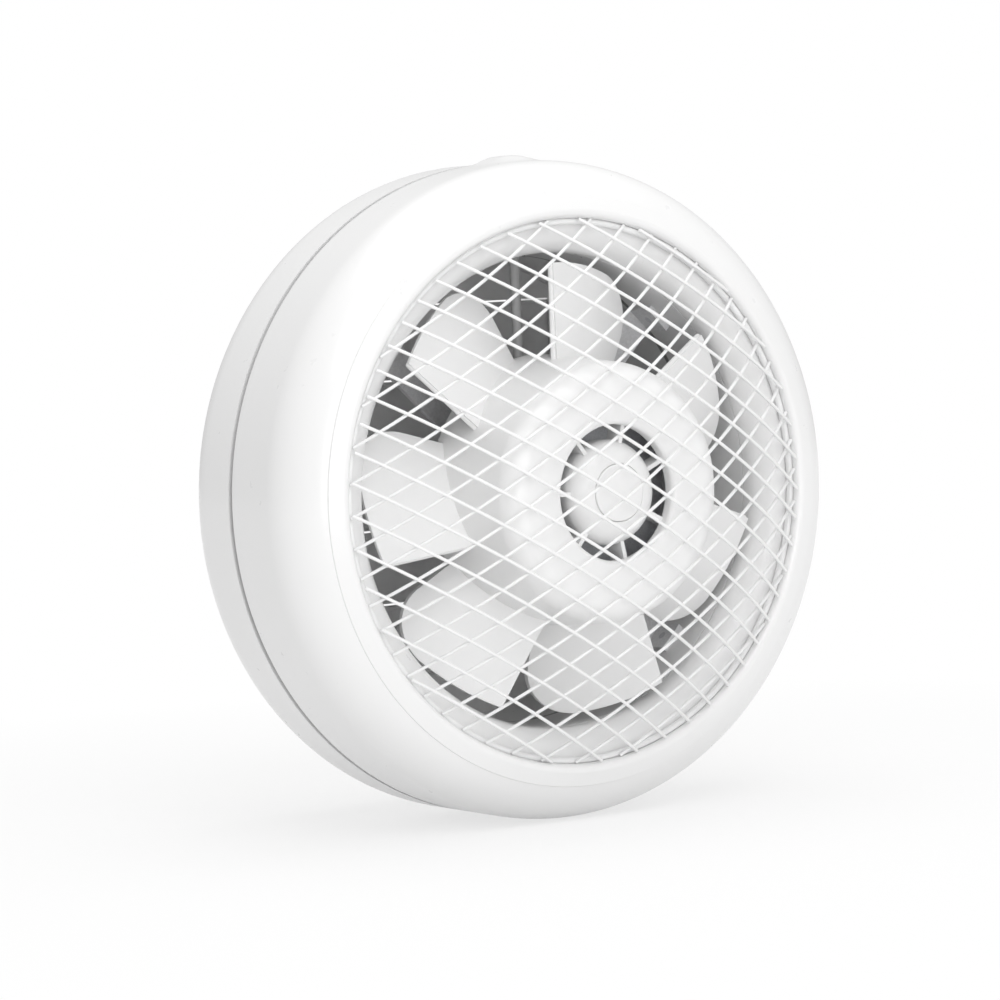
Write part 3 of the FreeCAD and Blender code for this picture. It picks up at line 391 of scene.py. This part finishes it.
# Spins a closed profile about the fan's axis. lift(r, f, angle) may push a point outwards
def turnedMesh(name, corners, columns, lift=None):
    profile = roundedProfile(corners)
    mesh = bpy.data.meshes.new(name)
    work = bmesh.new()
    rings = []
    for column in range(columns):
        angle = 2 * math.pi * column / columns
        ring = []
        for point in profile:
            r = point.x + (lift(point.x, point.y, angle) if lift else 0.0)
            ring.append(work.verts.new((r * math.cos(angle), -point.y, r * math.sin(angle))))
        rings.append(ring)
    for column in range(columns):
        near, far = rings[column], rings[(column + 1) % columns]
        for place in range(len(profile)):
            following = (place + 1) % len(profile)
            work.faces.new((near[place], near[following], far[following], far[place])).smooth = True
    bmesh.ops.recalc_face_normals(work, faces=work.faces)
    work.to_mesh(mesh)
    work.free()
    mesh.set_sharp_from_angle(angle=math.radians(smoothing["madeSharp"]))
    return mesh


# Front cover: the same sections as its solid, with softened edges
cover = {"radius": 155.6 * mm, "rear": 47.7 * mm, "depth": 106.0 * mm, "skin": 2.4 * mm, "crown": 27.0 * mm,
         "turn": 70.0, "collarStep": 0.6 * mm, "rebate": 128.2 * mm, "lip": 2.8 * mm, "rebateDepth": 6.0 * mm,
         "bell": 14.0 * mm, "bellTail": 3.0 * mm, "throat": 112.0 * mm, "edge": 0.7 * mm,
         "seatRound": 0.4 * mm, "tailRound": 0.5 * mm, "stepStart": 1.5, "stepEnd": 0.5,
         "pullWidth": 32.0 * mm, "pullHeight": 3.4 * mm, "pullLength": 20.0 * mm, "pullSlope": 10.0 * mm,
         "pullFade": 8.0 * mm, "pullPower": 1.4, "skinReach": 1.5, "columns": 480, "skirtRows": 10,
         "crownSteps": 22, "lipSteps": 14, "bellSteps": 16, "innerBellSteps": 12, "innerCrownSteps": 14}


def coverCorners():
    c = cover
    turn = math.radians(c["turn"])
    crownR = c["radius"] - c["crown"]
    crest = c["rebate"] + c["lip"]
    lipF = c["depth"] - c["lip"]
    crownEnd = crownR + c["crown"] * math.cos(turn)
    collarEnd = crest + c["lip"] * math.cos(turn)
    rise = (crownEnd - collarEnd) / math.tan(turn)
    crownF = lipF + c["lip"] * math.sin(turn) - rise - c["crown"] * math.sin(turn)
    seat = c["depth"] - c["rebateDepth"]
    bellR = c["throat"] + c["bell"]
    bellF = seat - c["bell"]
    bellEnd = bellF - c["bellTail"]
    inner = c["skin"]
    corners = [(c["radius"], c["rear"], c["edge"])]
    skirt = [c["rear"] + (crownF - c["rear"]) * row / c["skirtRows"] for row in range(1, c["skirtRows"])]
    corners += [(c["radius"], f, 0.0) for f in skirt]
    corners += arcPoints(crownR, crownF, c["crown"], 0, c["turn"] - c["stepStart"], c["crownSteps"])
    corners += arcPoints(crownR, crownF, c["crown"] + c["collarStep"], c["turn"] - c["stepEnd"], c["turn"], 1)
    corners += arcPoints(crest, lipF, c["lip"] + c["collarStep"], c["turn"], 180, c["lipSteps"])
    corners += [(c["rebate"], seat, c["seatRound"])]
    corners += arcPoints(bellR, bellF, c["bell"], 90, 180, c["bellSteps"])
    corners += [(c["throat"], bellEnd, c["tailRound"]), (c["throat"] + inner, bellEnd, c["tailRound"])]
    corners += arcPoints(bellR, bellF, c["bell"] - inner, 180, 90, c["innerBellSteps"])
    corners += [(c["rebate"] + inner, seat - inner, 0.0), (crest, lipF, 0.0)]
    corners += arcPoints(crownR, crownF, c["crown"] - inner, c["turn"], 0, c["innerCrownSteps"])
    corners += [(c["radius"] - inner, f, 0.0) for f in reversed(skirt)]
    corners += [(c["radius"] - inner, c["rear"], c["edge"])]
    return corners


# Finger pull: a swelling of the skirt at the top, fading towards the crown
def pullLift(r, f, angle):
    c = cover
    pullEnd = c["rear"] + c["pullLength"] + c["pullSlope"]
    if r < c["radius"] - c["skin"] * c["skinReach"] or f > pullEnd:
        return 0.0
    across = (angle - math.pi / 2) * c["radius"] / (c["pullWidth"] / 2)
    if abs(across) >= 1.0:
        return 0.0
    along = (pullEnd - f) / (c["pullSlope"] + c["pullFade"])
    fade = min(1.0, max(0.0, along))
    fade = fade * fade * (3 - 2 * fade)
    return c["pullHeight"] * math.cos(across * math.pi / 2) ** c["pullPower"] * fade


addPiece("cover_shell", turnedMesh("cover_shell", coverCorners(), cover["columns"], pullLift), "front_cover")
print("cover turned")

# Impeller: hub drum, nose boss, and seven sectors of one spoke and one blade
wheel = {"count": 7, "hubFront": 134.5 * mm, "hubRear": 74.0 * mm, "hubRearR": 64.5 * mm,
         "hubFrontR": 61.0 * mm, "wall": 2.5 * mm, "shoulder": 11.0 * mm, "holeR": 31.6 * mm,
         "holeRound": 2.5 * mm, "holeDrop": 6.5 * mm, "bossR": 24.5 * mm, "bossEdge": 126.0 * mm,
         "bossFront": 135.0 * mm, "bossRear": 119.35 * mm, "bossFlatR": 14.8 * mm, "bossBulge": 0.30,
         "wellR": 13.55 * mm, "well": 132.4 * mm, "wellRound": 0.25 * mm, "sleeveR": 9.5 * mm,
         "sleeveRear": 116.35 * mm, "sleeveFront": 125.6 * mm, "boreR": 4.05 * mm, "edge": 0.5 * mm,
         "rimRound": 0.3 * mm, "spokeAngle": 24.0, "spokeHalf": 1.0 * mm, "spokeDepth": 10.0 * mm,
         "spokeLift": 0.05 * mm, "drumRows": 8, "shoulderSteps": 18, "holeSteps": 8, "innerSteps": 12,
         "bossSteps": 18, "hubColumns": 240, "bossColumns": 144}
blade = {"angle": 23.7, "tipR": 107.3 * mm, "rootR": 59.75 * mm, "leadRoot": (22.2, 98.2 * mm),
         "leadTip": (16.6, 92.9 * mm), "trailRoot": (-22.2, 77.0 * mm), "trailTip": (-19.2, 67.0 * mm),
         "camber": 3.0 * mm, "spare": 0.1, "rootHalf": 1.6 * mm, "tipHalf": 0.9 * mm, "tipRound": 22.0 * mm,
         "rootShare": 0.93, "searchShare": 0.85, "halvings": 40, "columns": 30, "rows": 20,
         "bead": 1.5 * mm, "beadSides": 14, "ballSteps": 6, "ballTurn": 89.0}


# The arc through three points of a profile
def arcThrough(first, middle, last, steps):
    (ax, ay), (bx, by), (cx, cy) = first, middle, last
    twice = 2 * (ax * (by - cy) + bx * (cy - ay) + cx * (ay - by))
    a2, b2, c2 = ax * ax + ay * ay, bx * bx + by * by, cx * cx + cy * cy
    ux = (a2 * (by - cy) + b2 * (cy - ay) + c2 * (ay - by)) / twice
    uy = (a2 * (cx - bx) + b2 * (ax - cx) + c2 * (bx - ax)) / twice
    start = math.degrees(math.atan2(ay - uy, ax - ux))
    end = math.degrees(math.atan2(cy - uy, cx - ux))
    return arcPoints(ux, uy, math.hypot(ax - ux, ay - uy), start, end, steps)


def hubCorners():
    w = wheel
    shoulderF = w["hubFront"] - w["shoulder"]
    flatR = w["hubFrontR"] - w["shoulder"]
    holeEdge = w["holeR"] + w["holeRound"]
    holeF = w["hubFront"] - w["holeDrop"]
    innerR = w["holeR"] + w["wall"]
    corners = []
    for row in range(w["drumRows"]):
        share = row / w["drumRows"]
        r = w["hubRearR"] + (w["hubFrontR"] - w["hubRearR"]) * share
        corners.append((r, w["hubRear"] + (shoulderF - w["hubRear"]) * share, 0.0 if row else w["edge"]))
    corners += arcPoints(flatR, shoulderF, w["shoulder"], 0, 90, w["shoulderSteps"])
    corners += arcPoints(holeEdge, w["hubFront"] - w["holeRound"], w["holeRound"], 90, 180, w["holeSteps"])
    corners += [(w["holeR"], holeF, w["rimRound"]), (innerR, holeF, w["rimRound"]),
                (innerR, w["hubFront"] - w["wall"], 0.0)]
    corners += arcPoints(flatR, shoulderF, w["shoulder"] - w["wall"], 90, 0, w["innerSteps"])
    corners += [(w["hubRearR"] - w["wall"], w["hubRear"], w["edge"])]
    return corners


def bossCorners():
    w = wheel
    web = w["bossRear"] + w["wall"]
    half = (w["bossR"] - w["bossFlatR"]) / 2
    rise = (w["bossFront"] - w["bossEdge"]) / 2
    bulge = (w["bossFlatR"] + half * (1 + w["bossBulge"]), w["bossEdge"] + rise * (1 + w["bossBulge"]))
    innerR = w["bossR"] - w["wall"]
    corners = [(w["boreR"], w["sleeveRear"], 0.0), (w["sleeveR"], w["sleeveRear"], 0.0),
               (w["sleeveR"], web, 0.0), (innerR, web, 0.0), (innerR, w["bossRear"], w["rimRound"]),
               (w["bossR"], w["bossRear"], w["rimRound"])]
    flatEdge = (w["bossFlatR"], w["bossFront"])
    corners += arcThrough((w["bossR"], w["bossEdge"]), bulge, flatEdge, w["bossSteps"])
    corners += [(w["wellR"], w["bossFront"], w["wellRound"]), (w["wellR"], w["well"], 0.0),
                (w["sleeveR"], w["well"], 0.0), (w["sleeveR"], w["sleeveFront"], 0.0),
                (w["boreR"], w["sleeveFront"], 0.0)]
    return corners


# A point by its radius, its angle round the axis and its place in front of the wall
def clockPoint(r, angle, f):
    turned = math.radians(angle)
    return Vector((r * math.cos(turned), -f, r * math.sin(turned)))


# An edge of the blade as a straight line: its point at any distance from the axis along X
def bladeEdge(rootSpec, tipSpec):
    root = clockPoint(blade["rootR"], *rootSpec)
    tip = clockPoint(blade["tipR"], *tipSpec)
    return lambda x: root + (tip - root) * ((x - root.x) / (tip.x - root.x))


def onSheet(lead, trail, x, share):
    bow = 1 - ((share - 0.5) / (0.5 + blade["spare"])) ** 2
    return lead(x).lerp(trail(x), share) + Vector((0, -blade["camber"] * bow, 0))


# The rounded rear tip corner: its centre in plan, found between the trailing edge and the tip circle
def cornerCentre(trail):
    near, far = trail(blade["rootR"]), trail(blade["tipR"])
    run = Vector((far.x - near.x, far.z - near.z)).normalized()
    inwards = Vector((-run.y, run.x))
    foot = Vector((near.x, near.z)) + inwards * blade["tipRound"]
    reach = blade["tipR"] - blade["tipRound"]
    along = foot.dot(run)
    travel = -along + math.sqrt(along * along - foot.dot(foot) + reach * reach)
    return foot + run * travel, inwards


def insidePlan(point, centre, inwards):
    flat = Vector((point.x, point.z))
    if flat.length > blade["tipR"]:
        return False
    away = flat - centre
    pastArc = centre.x * flat.y - centre.y * flat.x < 0 and away.dot(inwards) < 0
    ahead = away.dot(Vector((inwards.y, -inwards.x))) > 0
    return not (pastArc and ahead) or away.length <= blade["tipRound"]


def bladeSheet(work):
    lead = bladeEdge(blade["leadRoot"], blade["leadTip"])
    trail = bladeEdge(blade["trailRoot"], blade["trailTip"])
    centre, inwards = cornerCentre(trail)
    upper, lower = [], []
    for column in range(blade["columns"] + 1):
        share = 1 - (1 - column / blade["columns"]) ** 2
        low, high = blade["rootR"] * blade["searchShare"], blade["tipR"]
        for halving in range(blade["halvings"]):
            middle = (low + high) / 2
            if insidePlan(onSheet(lead, trail, middle, share), centre, inwards):
                low = middle
            else:
                high = middle
        start = blade["rootR"] * blade["rootShare"]
        for sheet, side in ((upper, -1), (lower, 1)):
            line = []
            for row in range(blade["rows"] + 1):
                x = start + (low - start) * row / blade["rows"]
                outwards = min(1.0, max(0.0, (x - blade["rootR"]) / (blade["tipR"] - blade["rootR"])))
                half = blade["rootHalf"] + (blade["tipHalf"] - blade["rootHalf"]) * outwards
                line.append(work.verts.new(onSheet(lead, trail, x, share) + Vector((0, half * side, 0))))
            sheet.append(line)
    joinSheets(work, upper, lower)


# Faces of both sheets, and the strips that close them at the ends and along the edges
def joinSheets(work, upper, lower):
    columns, rows = len(upper) - 1, len(upper[0]) - 1
    for column in range(columns):
        for row in range(rows):
            for sheet in (upper, lower):
                work.faces.new((sheet[column][row], sheet[column + 1][row], sheet[column + 1][row + 1],
                                sheet[column][row + 1]))
        for row in (0, rows):
            work.faces.new((upper[column][row], upper[column + 1][row],
                            lower[column + 1][row], lower[column][row]))
    for row in range(rows):
        for column in (0, columns):
            work.faces.new((upper[column][row], upper[column][row + 1],
                            lower[column][row + 1], lower[column][row]))


# The bead along the leading edge, with a ball end at the tip
def bladeBead(work):
    start = clockPoint(blade["rootR"], *blade["leadRoot"])
    end = clockPoint(blade["tipR"] - blade["bead"], *blade["leadTip"])
    run = (end - start).normalized()
    side = run.cross(Vector((0, 1, 0))).normalized()
    other = run.cross(side)
    stations = [(start, 1.0), (start.lerp(end, 0.5), 1.0), (end, 1.0)]
    for step in range(1, blade["ballSteps"] + 1):
        turned = math.radians(blade["ballTurn"] * step / blade["ballSteps"])
        stations.append((end + run * blade["bead"] * math.sin(turned), math.cos(turned)))
    rings = []
    for middle, share in stations:
        ring = []
        for place in range(blade["beadSides"]):
            angle = 2 * math.pi * place / blade["beadSides"]
            outwards = side * math.cos(angle) + other * math.sin(angle)
            ring.append(work.verts.new(middle + outwards * blade["bead"] * share))
        rings.append(ring)
    for near, far in zip(rings, rings[1:]):
        for place in range(len(near)):
            following = (place + 1) % len(near)
            work.faces.new((near[place], near[following], far[following], far[place]))
    work.faces.new(rings[0])
    work.faces.new(rings[-1])


def sectorMesh():
    work = bmesh.new()
    bladeSheet(work)
    bladeBead(work)
    bmesh.ops.rotate(work, verts=work.verts, matrix=Matrix.Rotation(-math.radians(blade["angle"]), 3, "Y"))
    bladeVerts = set(work.verts)
    w = wheel
    rear = w["bossRear"] + w["spokeLift"]
    bar = bmesh.ops.create_cube(work, size=1.0)["verts"]
    inner, outer = w["bossR"] - w["wall"] / 2, w["hubFrontR"] - w["wall"]
    for vert in bar:
        vert.co = Vector((inner if vert.co.x < 0 else outer,
                          -(rear if vert.co.y > 0 else rear + w["spokeDepth"]),
                          w["spokeHalf"] * 2 * vert.co.z))
    spokeVerts = [vert for vert in work.verts if vert not in bladeVerts]
    bmesh.ops.rotate(work, verts=spokeVerts, matrix=Matrix.Rotation(-math.radians(w["spokeAngle"]), 3, "Y"))
    bmesh.ops.recalc_face_normals(work, faces=work.faces)
    for face in work.faces:
        face.smooth = True
    mesh = bpy.data.meshes.new("impeller_sector")
    work.to_mesh(mesh)
    work.free()
    mesh.set_sharp_from_angle(angle=math.radians(smoothing["madeSharp"]))
    return mesh


# Repeats a sector round the fan's axis
def ringTree():
    tree = bpy.data.node_groups.new("ringRepeat", "GeometryNodeTree")
    build = Tree(tree)
    tree.interface.new_socket("Geometry", in_out="OUTPUT", socket_type="NodeSocketGeometry")
    tree.interface.new_socket("Geometry", in_out="INPUT", socket_type="NodeSocketGeometry")
    tree.interface.new_socket("Count", in_out="INPUT", socket_type="NodeSocketInt")
    tree.interface.new_socket("Finish", in_out="INPUT", socket_type="NodeSocketMaterial")
    given = build.add("NodeGroupInput")
    points = build.add("GeometryNodeMeshLine", None, {
        "Count": given.out("Count"), "Offset": (0, 0, 0)}).out(0)
    index = build.add("GeometryNodeInputIndex").out(0)
    turned = build.add("ShaderNodeCombineXYZ", None, {
        "Y": index * (-2 * math.pi) / given.out("Count")}).out(0)
    rotation = build.add("FunctionNodeEulerToRotation", None, {0: turned}).out(0)
    sectors = build.add("GeometryNodeInstanceOnPoints", None, {
        "Points": points, "Instance": given.out("Geometry"), "Rotation": rotation}).out(0)
    whole = build.add("GeometryNodeRealizeInstances", None, {0: sectors}).out(0)
    whole = build.add("GeometryNodeSetMaterial", None, {
        "Geometry": whole, "Material": given.out("Finish")}).out(0)
    build.add("NodeGroupOutput", None, {0: whole})
    return tree


# Runs a tree on a mesh with inputs set by identifier, and gives back a plain mesh
def meshFromTree(name, tree, values, source=None):
    holder = bpy.data.objects.new(name, source or bpy.data.meshes.new(name))
    bpy.context.scene.collection.objects.link(holder)
    modifier = holder.modifiers.new("build", "NODES")
    modifier.node_group = tree
    for item in tree.interface.items_tree:
        if item.in_out == "INPUT" and item.name in values:
            modifier[item.identifier] = values[item.name]
    depsgraph = bpy.context.evaluated_depsgraph_get()
    mesh = bpy.data.meshes.new_from_object(holder.evaluated_get(depsgraph))
    mesh.name = name
    holder.modifiers.remove(modifier)
    bpy.data.objects.remove(holder)
    return mesh


# Joins plain meshes into one, keeping their smooth faces and sharp edges
def joinedMesh(name, parts):
    work = bmesh.new()
    for part in parts:
        work.from_mesh(part)
    mesh = bpy.data.meshes.new(name)
    work.to_mesh(mesh)
    work.free()
    return mesh


sectors = meshFromTree("impeller_sectors", ringTree(), {
    "Count": wheel["count"], "Finish": finishes["impeller_plastic"]}, sectorMesh())
wheelMesh = joinedMesh("impeller_wheel", [turnedMesh("hub", hubCorners(), wheel["hubColumns"]),
                                          turnedMesh("boss", bossCorners(), wheel["bossColumns"]), sectors])
addPiece("impeller_wheel", wheelMesh, "impeller")
print("impeller:", len(wheelMesh.polygons), "faces")

# Hub cap: a plain flat button
cap = {"radius": 13.3 * mm, "rear": 132.45 * mm, "front": 135.6 * mm, "edge": 0.7 * mm, "rearEdge": 0.2 * mm,
       "middle": 0.05 * mm, "columns": 96}


def capCorners():
    c = cap
    return [(c["middle"], c["rear"], 0.0), (c["radius"], c["rear"], c["rearEdge"]),
            (c["radius"], c["front"], c["edge"]), (c["middle"], c["front"], 0.0)]


addPiece("hub_cap_button", turnedMesh("hub_cap_button", capCorners(), cap["columns"]), "hub_cap")

# Wire guard: a Geometry Nodes tree lays two crossed families of wires on a ball and stands them on a hoop
guard = {"pitch": 12.77 * mm, "lean": 31.4, "fallingShift": -0.33, "risingShift": -0.07, "wire": 0.8 * mm,
         "hoopWire": 1.6 * mm, "hoopR": 126.2 * mm, "hoopF": 101.75 * mm, "apexF": 146.0 * mm,
         "weld": 0.04 * mm, "endReach": 0.8 * mm, "shortestHalf": 20.0 * mm, "steps": 72, "sides": 10,
         "hoopSteps": 240, "hoopSides": 14}


# The ball that the rear wires lie on: its radius, and its centre in front of the wall
def guardBall():
    g = guard
    rearApex = g["apexF"] - 3 * g["wire"] - g["weld"]
    clearance = g["hoopWire"] + g["wire"] + g["weld"]
    rise = rearApex - clearance - g["hoopF"]
    ball = (g["hoopR"] ** 2 + rise ** 2) / (2 * rise) + clearance
    return ball, rearApex - ball


def guardTree():
    tree = bpy.data.node_groups.new("guardWires", "GeometryNodeTree")
    build = Tree(tree)
    tree.interface.new_socket("Geometry", in_out="OUTPUT", socket_type="NodeSocketGeometry")
    for name in ("Pitch", "Wire Radius", "Layer Step", "Ball Radius", "Ball Centre", "Rim Radius", "Lean",
                 "Falling Shift", "Rising Shift", "Hoop Radius", "Hoop Wire", "Hoop Place", "Longest Offset"):
        tree.interface.new_socket(name, in_out="INPUT", socket_type="NodeSocketFloat")
    tree.interface.new_socket("Finish", in_out="INPUT", socket_type="NodeSocketMaterial")
    given = build.add("NodeGroupInput")
    sectionCircle = build.add("GeometryNodeCurvePrimitiveCircle", None, {
        "Resolution": guard["sides"], "Radius": given.out("Wire Radius")}).out("Curve")
    families = []
    for side, shiftName, layers in ((-1, "Falling Shift", 1.0), (1, "Rising Shift", 0.0)):
        ball = given.out("Ball Radius") + given.out("Layer Step") * layers
        count = 2 * math.ceil(guard["hoopR"] / guard["pitch"]) + 1
        pitch = given.out("Pitch")
        first = (given.out(shiftName) - (count - 1) / 2) * pitch
        start = build.add("ShaderNodeCombineXYZ", None, {"Y": first}).out(0)
        step = build.add("ShaderNodeCombineXYZ", None, {"Y": pitch}).out(0)
        rows = build.add("GeometryNodeMeshLine", None, {
            "Count": count, "Start Location": start, "Offset": step}).out(0)
        position = build.add("GeometryNodeInputPosition").out(0)
        offset = build.add("ShaderNodeSeparateXYZ", None, {0: position}).out("Y")
        tooFar = build.add("FunctionNodeCompare", {"operation": "GREATER_THAN"}, {
            0: offset.math("ABSOLUTE"), 1: given.out("Longest Offset")}).out(0)
        kept = build.add("GeometryNodeDeleteGeometry", None, {"Geometry": rows, "Selection": tooFar}).out(0)
        line = build.add("GeometryNodeCurvePrimitiveLine", None, {
            "Start": (-1, 0, 0), "End": (1, 0, 0)}).out(0)
        line = build.add("GeometryNodeResampleCurve", None, {"Curve": line, "Count": guard["steps"]}).out(0)
        strands = build.add("GeometryNodeInstanceOnPoints", None, {"Points": kept, "Instance": line}).out(0)
        strands = build.add("GeometryNodeRealizeInstances", None, {0: strands}).out(0)
        here = build.add("ShaderNodeSeparateXYZ", None, {0: position})
        share, beside = here.out("X"), here.out("Y")
        arcR = (ball * ball - beside * beside).root()
        reach = (given.out("Rim Radius") * given.out("Rim Radius") - beside * beside).root()
        swing = (reach / arcR).math("ARCSINE") * share
        along = arcR * swing.math("SINE")
        forward = given.out("Ball Centre") + arcR * swing.math("COSINE")
        leanCos, leanSin = given.out("Lean").math("COSINE"), given.out("Lean").math("SINE") * float(side)
        moved = build.add("ShaderNodeCombineXYZ", None, {
            "X": along * leanCos - beside * leanSin, "Y": forward * -1.0,
            "Z": along * leanSin + beside * leanCos}).out(0)
        strands = build.add("GeometryNodeSetPosition", None, {"Geometry": strands, "Position": moved}).out(0)
        tubes = build.add("GeometryNodeCurveToMesh", None, {
            "Curve": strands, "Profile Curve": sectionCircle, "Fill Caps": True}).out(0)
        families.append(tubes)
    hoop = build.add("GeometryNodeCurvePrimitiveCircle", None, {
        "Resolution": guard["hoopSteps"], "Radius": given.out("Hoop Radius")}).out("Curve")
    hoopSection = build.add("GeometryNodeCurvePrimitiveCircle", None, {
        "Resolution": guard["hoopSides"], "Radius": given.out("Hoop Wire")}).out("Curve")
    hoop = build.add("GeometryNodeCurveToMesh", None, {"Curve": hoop, "Profile Curve": hoopSection}).out(0)
    lift = build.add("ShaderNodeCombineXYZ", None, {"Y": given.out("Hoop Place") * -1.0}).out(0)
    hoop = build.add("GeometryNodeTransform", None, {
        "Geometry": hoop, "Translation": lift, "Rotation": (math.pi / 2, 0, 0)}).out(0)
    joined = build.add("GeometryNodeJoinGeometry").node
    for part in families + [hoop]:
        tree.links.new(part.socket, joined.inputs[0])
    whole = build.add("GeometryNodeRealizeInstances", None, {0: Sock(build, joined.outputs[0])}).out(0)
    whole = build.add("GeometryNodeSetShadeSmooth", None, {0: whole}).out(0)
    whole = build.add("GeometryNodeSetMaterial", None, {
        "Geometry": whole, "Material": given.out("Finish")}).out(0)
    build.add("NodeGroupOutput", None, {0: whole})
    return tree


ballR, ballF = guardBall()
guardMesh = meshFromTree("guard_wires", guardTree(), {
    "Pitch": guard["pitch"], "Wire Radius": guard["wire"], "Layer Step": 2 * guard["wire"] + guard["weld"],
    "Ball Radius": ballR, "Ball Centre": ballF, "Rim Radius": guard["hoopR"] + guard["endReach"],
    "Lean": math.radians(guard["lean"]), "Falling Shift": guard["fallingShift"],
    "Rising Shift": guard["risingShift"], "Hoop Radius": guard["hoopR"], "Hoop Wire": guard["hoopWire"],
    "Hoop Place": guard["hoopF"],
    "Longest Offset": math.sqrt(guard["hoopR"] ** 2 - guard["shortestHalf"] ** 2),
    "Finish": finishes["guard_wire"]})
addPiece("guard_wires", guardMesh, "wire_guard", "guard_hoop")
print("guard:", len(guardMesh.polygons), "faces")


# Floor, lights and camera
studio = {"floorDrop": 0.4 * mm, "floorSize": 12.0, "floorGrey": 0.86, "floorGlow": 0.72, "floorRough": 0.85,
          "roughSpread": 0.1, "roughSize": 0.3, "roughDetail": 2.0, "floorGloss": 0.1, "worldGrey": 0.61,
          "shadowNear": 0.20, "shadowFar": 0.55, "lampAim": (0, -0.05, 0)}


def addFloor():
    half = studio["floorSize"] / 2
    level = cadBox[0][2] - studio["floorDrop"]
    mesh = bpy.data.meshes.new("floor")
    corners = [(x * half, y * half, level) for x, y in ((-1, -1), (1, -1), (1, 1), (-1, 1))]
    mesh.from_pydata(corners, [], [(0, 1, 2, 3)])
    floor = bpy.data.objects.new("floor", mesh)
    bpy.context.scene.collection.objects.link(floor)
    material, tree, shader, place = newFinish("pale_floor")
    shader.inputs["Base Color"].default_value = rgba(studio["floorGrey"])
    mottle = tree.noise(place, studio["roughSize"], studio["roughDetail"])
    link(tree, shader, "Roughness", studio["floorRough"] + studio["roughSpread"] * mottle)
    shader.inputs["Specular IOR Level"].default_value = studio["floorGloss"]
    path = tree.add("ShaderNodeLightPath")
    seen = (path.out("Is Camera Ray") + path.out("Is Glossy Ray") + path.out("Is Transmission Ray")).clamped()
    glow = tree.add("ShaderNodeEmission", None, {"Color": rgba(1.0), "Strength": 1.0}).out(0)
    parts = tree.add("ShaderNodeSeparateXYZ", None, {0: place})
    away = (parts.out("X") * parts.out("X") + parts.out("Y") * parts.out("Y")).root()
    clear = away.between(studio["shadowNear"], studio["shadowFar"])
    share = studio["floorGlow"] + (1.0 - studio["floorGlow"]) * clear
    mixed = tree.add("ShaderNodeMixShader", None, {
        0: seen * share, 1: Sock(tree, shader.outputs["BSDF"]), 2: glow}).out(0)
    tree.add("ShaderNodeOutputMaterial", {"is_active_output": True}, {"Surface": mixed})
    mesh.materials.append(material)


def addWorld():
    world = bpy.data.worlds.new("studio")
    bpy.context.scene.world = world
    world.use_nodes = True
    world.node_tree.nodes.clear()
    tree = Tree(world.node_tree)
    path = tree.add("ShaderNodeLightPath")
    seen = (path.out("Is Camera Ray") + path.out("Is Transmission Ray")).clamped()
    level = studio["worldGrey"] + seen * (1.0 - studio["worldGrey"])
    back = tree.add("ShaderNodeBackground", None, {"Color": rgba(1.0), "Strength": level}).out(0)
    tree.add("ShaderNodeOutputWorld", None, {"Surface": back})


# Soft boxes: where each one hangs, its size and its power
lamps = {
    "key_box": {"place": (-0.55, -1.35, 1.35), "size": 1.1, "power": 10.0},
    "top_box": {"place": (0.10, 0.05, 1.60), "size": 1.4, "power": 11.0},
    "side_fill": {"place": (1.50, -1.00, 0.35), "size": 1.2, "power": 0.8},
    "front_fill": {"place": (-0.35, -1.70, 0.10), "size": 0.9, "power": 6.0},
}


def addLamp(name, look):
    lamp = bpy.data.lights.new(name, "AREA")
    lamp.shape = "SQUARE"
    lamp.size = look["size"]
    lamp.energy = look["power"]
    holder = bpy.data.objects.new(name, lamp)
    holder.location = look["place"]
    target = Vector(studio["lampAim"])
    holder.rotation_euler = (target - holder.location).to_track_quat("-Z", "Y").to_euler()
    bpy.context.scene.collection.objects.link(holder)


# Camera matched to the photograph: the lip circle's turn, its place in the frame and its distance
lens = {"yaw": 34.13, "pitch": 1.60, "roll": 3.2, "focalPixels": 4000.0, "framePixels": 1000.0,
        "distance": 1869.3 * mm, "centreU": 582.7, "centreV": 491.3, "sensor": 36.0}


def addCamera():
    half = lens["framePixels"] / 2
    turned = (Matrix.Rotation(math.radians(lens["pitch"]), 3, "X")
              @ Matrix.Rotation(math.radians(lens["yaw"]), 3, "Y")
              @ Matrix.Rotation(math.radians(lens["roll"]), 3, "Z"))
    shift = Vector(((lens["centreU"] - half) / lens["focalPixels"] * lens["distance"],
                    (half - lens["centreV"]) / lens["focalPixels"] * lens["distance"], 0))
    toRow = Matrix(((1, 0, 0), (0, 0, -1), (0, 1, 0)))
    basis = toRow @ turned.transposed()
    eye = basis @ (Vector((0, 0, lens["distance"])) - shift) + Vector((0, -cover["depth"], 0))
    camera = bpy.data.cameras.new("camera")
    camera.sensor_width = lens["sensor"]
    camera.sensor_fit = "HORIZONTAL"
    camera.lens = lens["focalPixels"] / lens["framePixels"] * lens["sensor"]
    holder = bpy.data.objects.new("camera", camera)
    holder.matrix_world = Matrix.Translation(eye) @ basis.to_4x4()
    bpy.context.scene.collection.objects.link(holder)
    bpy.context.scene.camera = holder


addFloor()
addWorld()
for lampName, lampLook in lamps.items():
    addLamp(lampName, lampLook)
addCamera()
bpy.context.scene.view_settings.view_transform = "Standard"
print("studio ready")
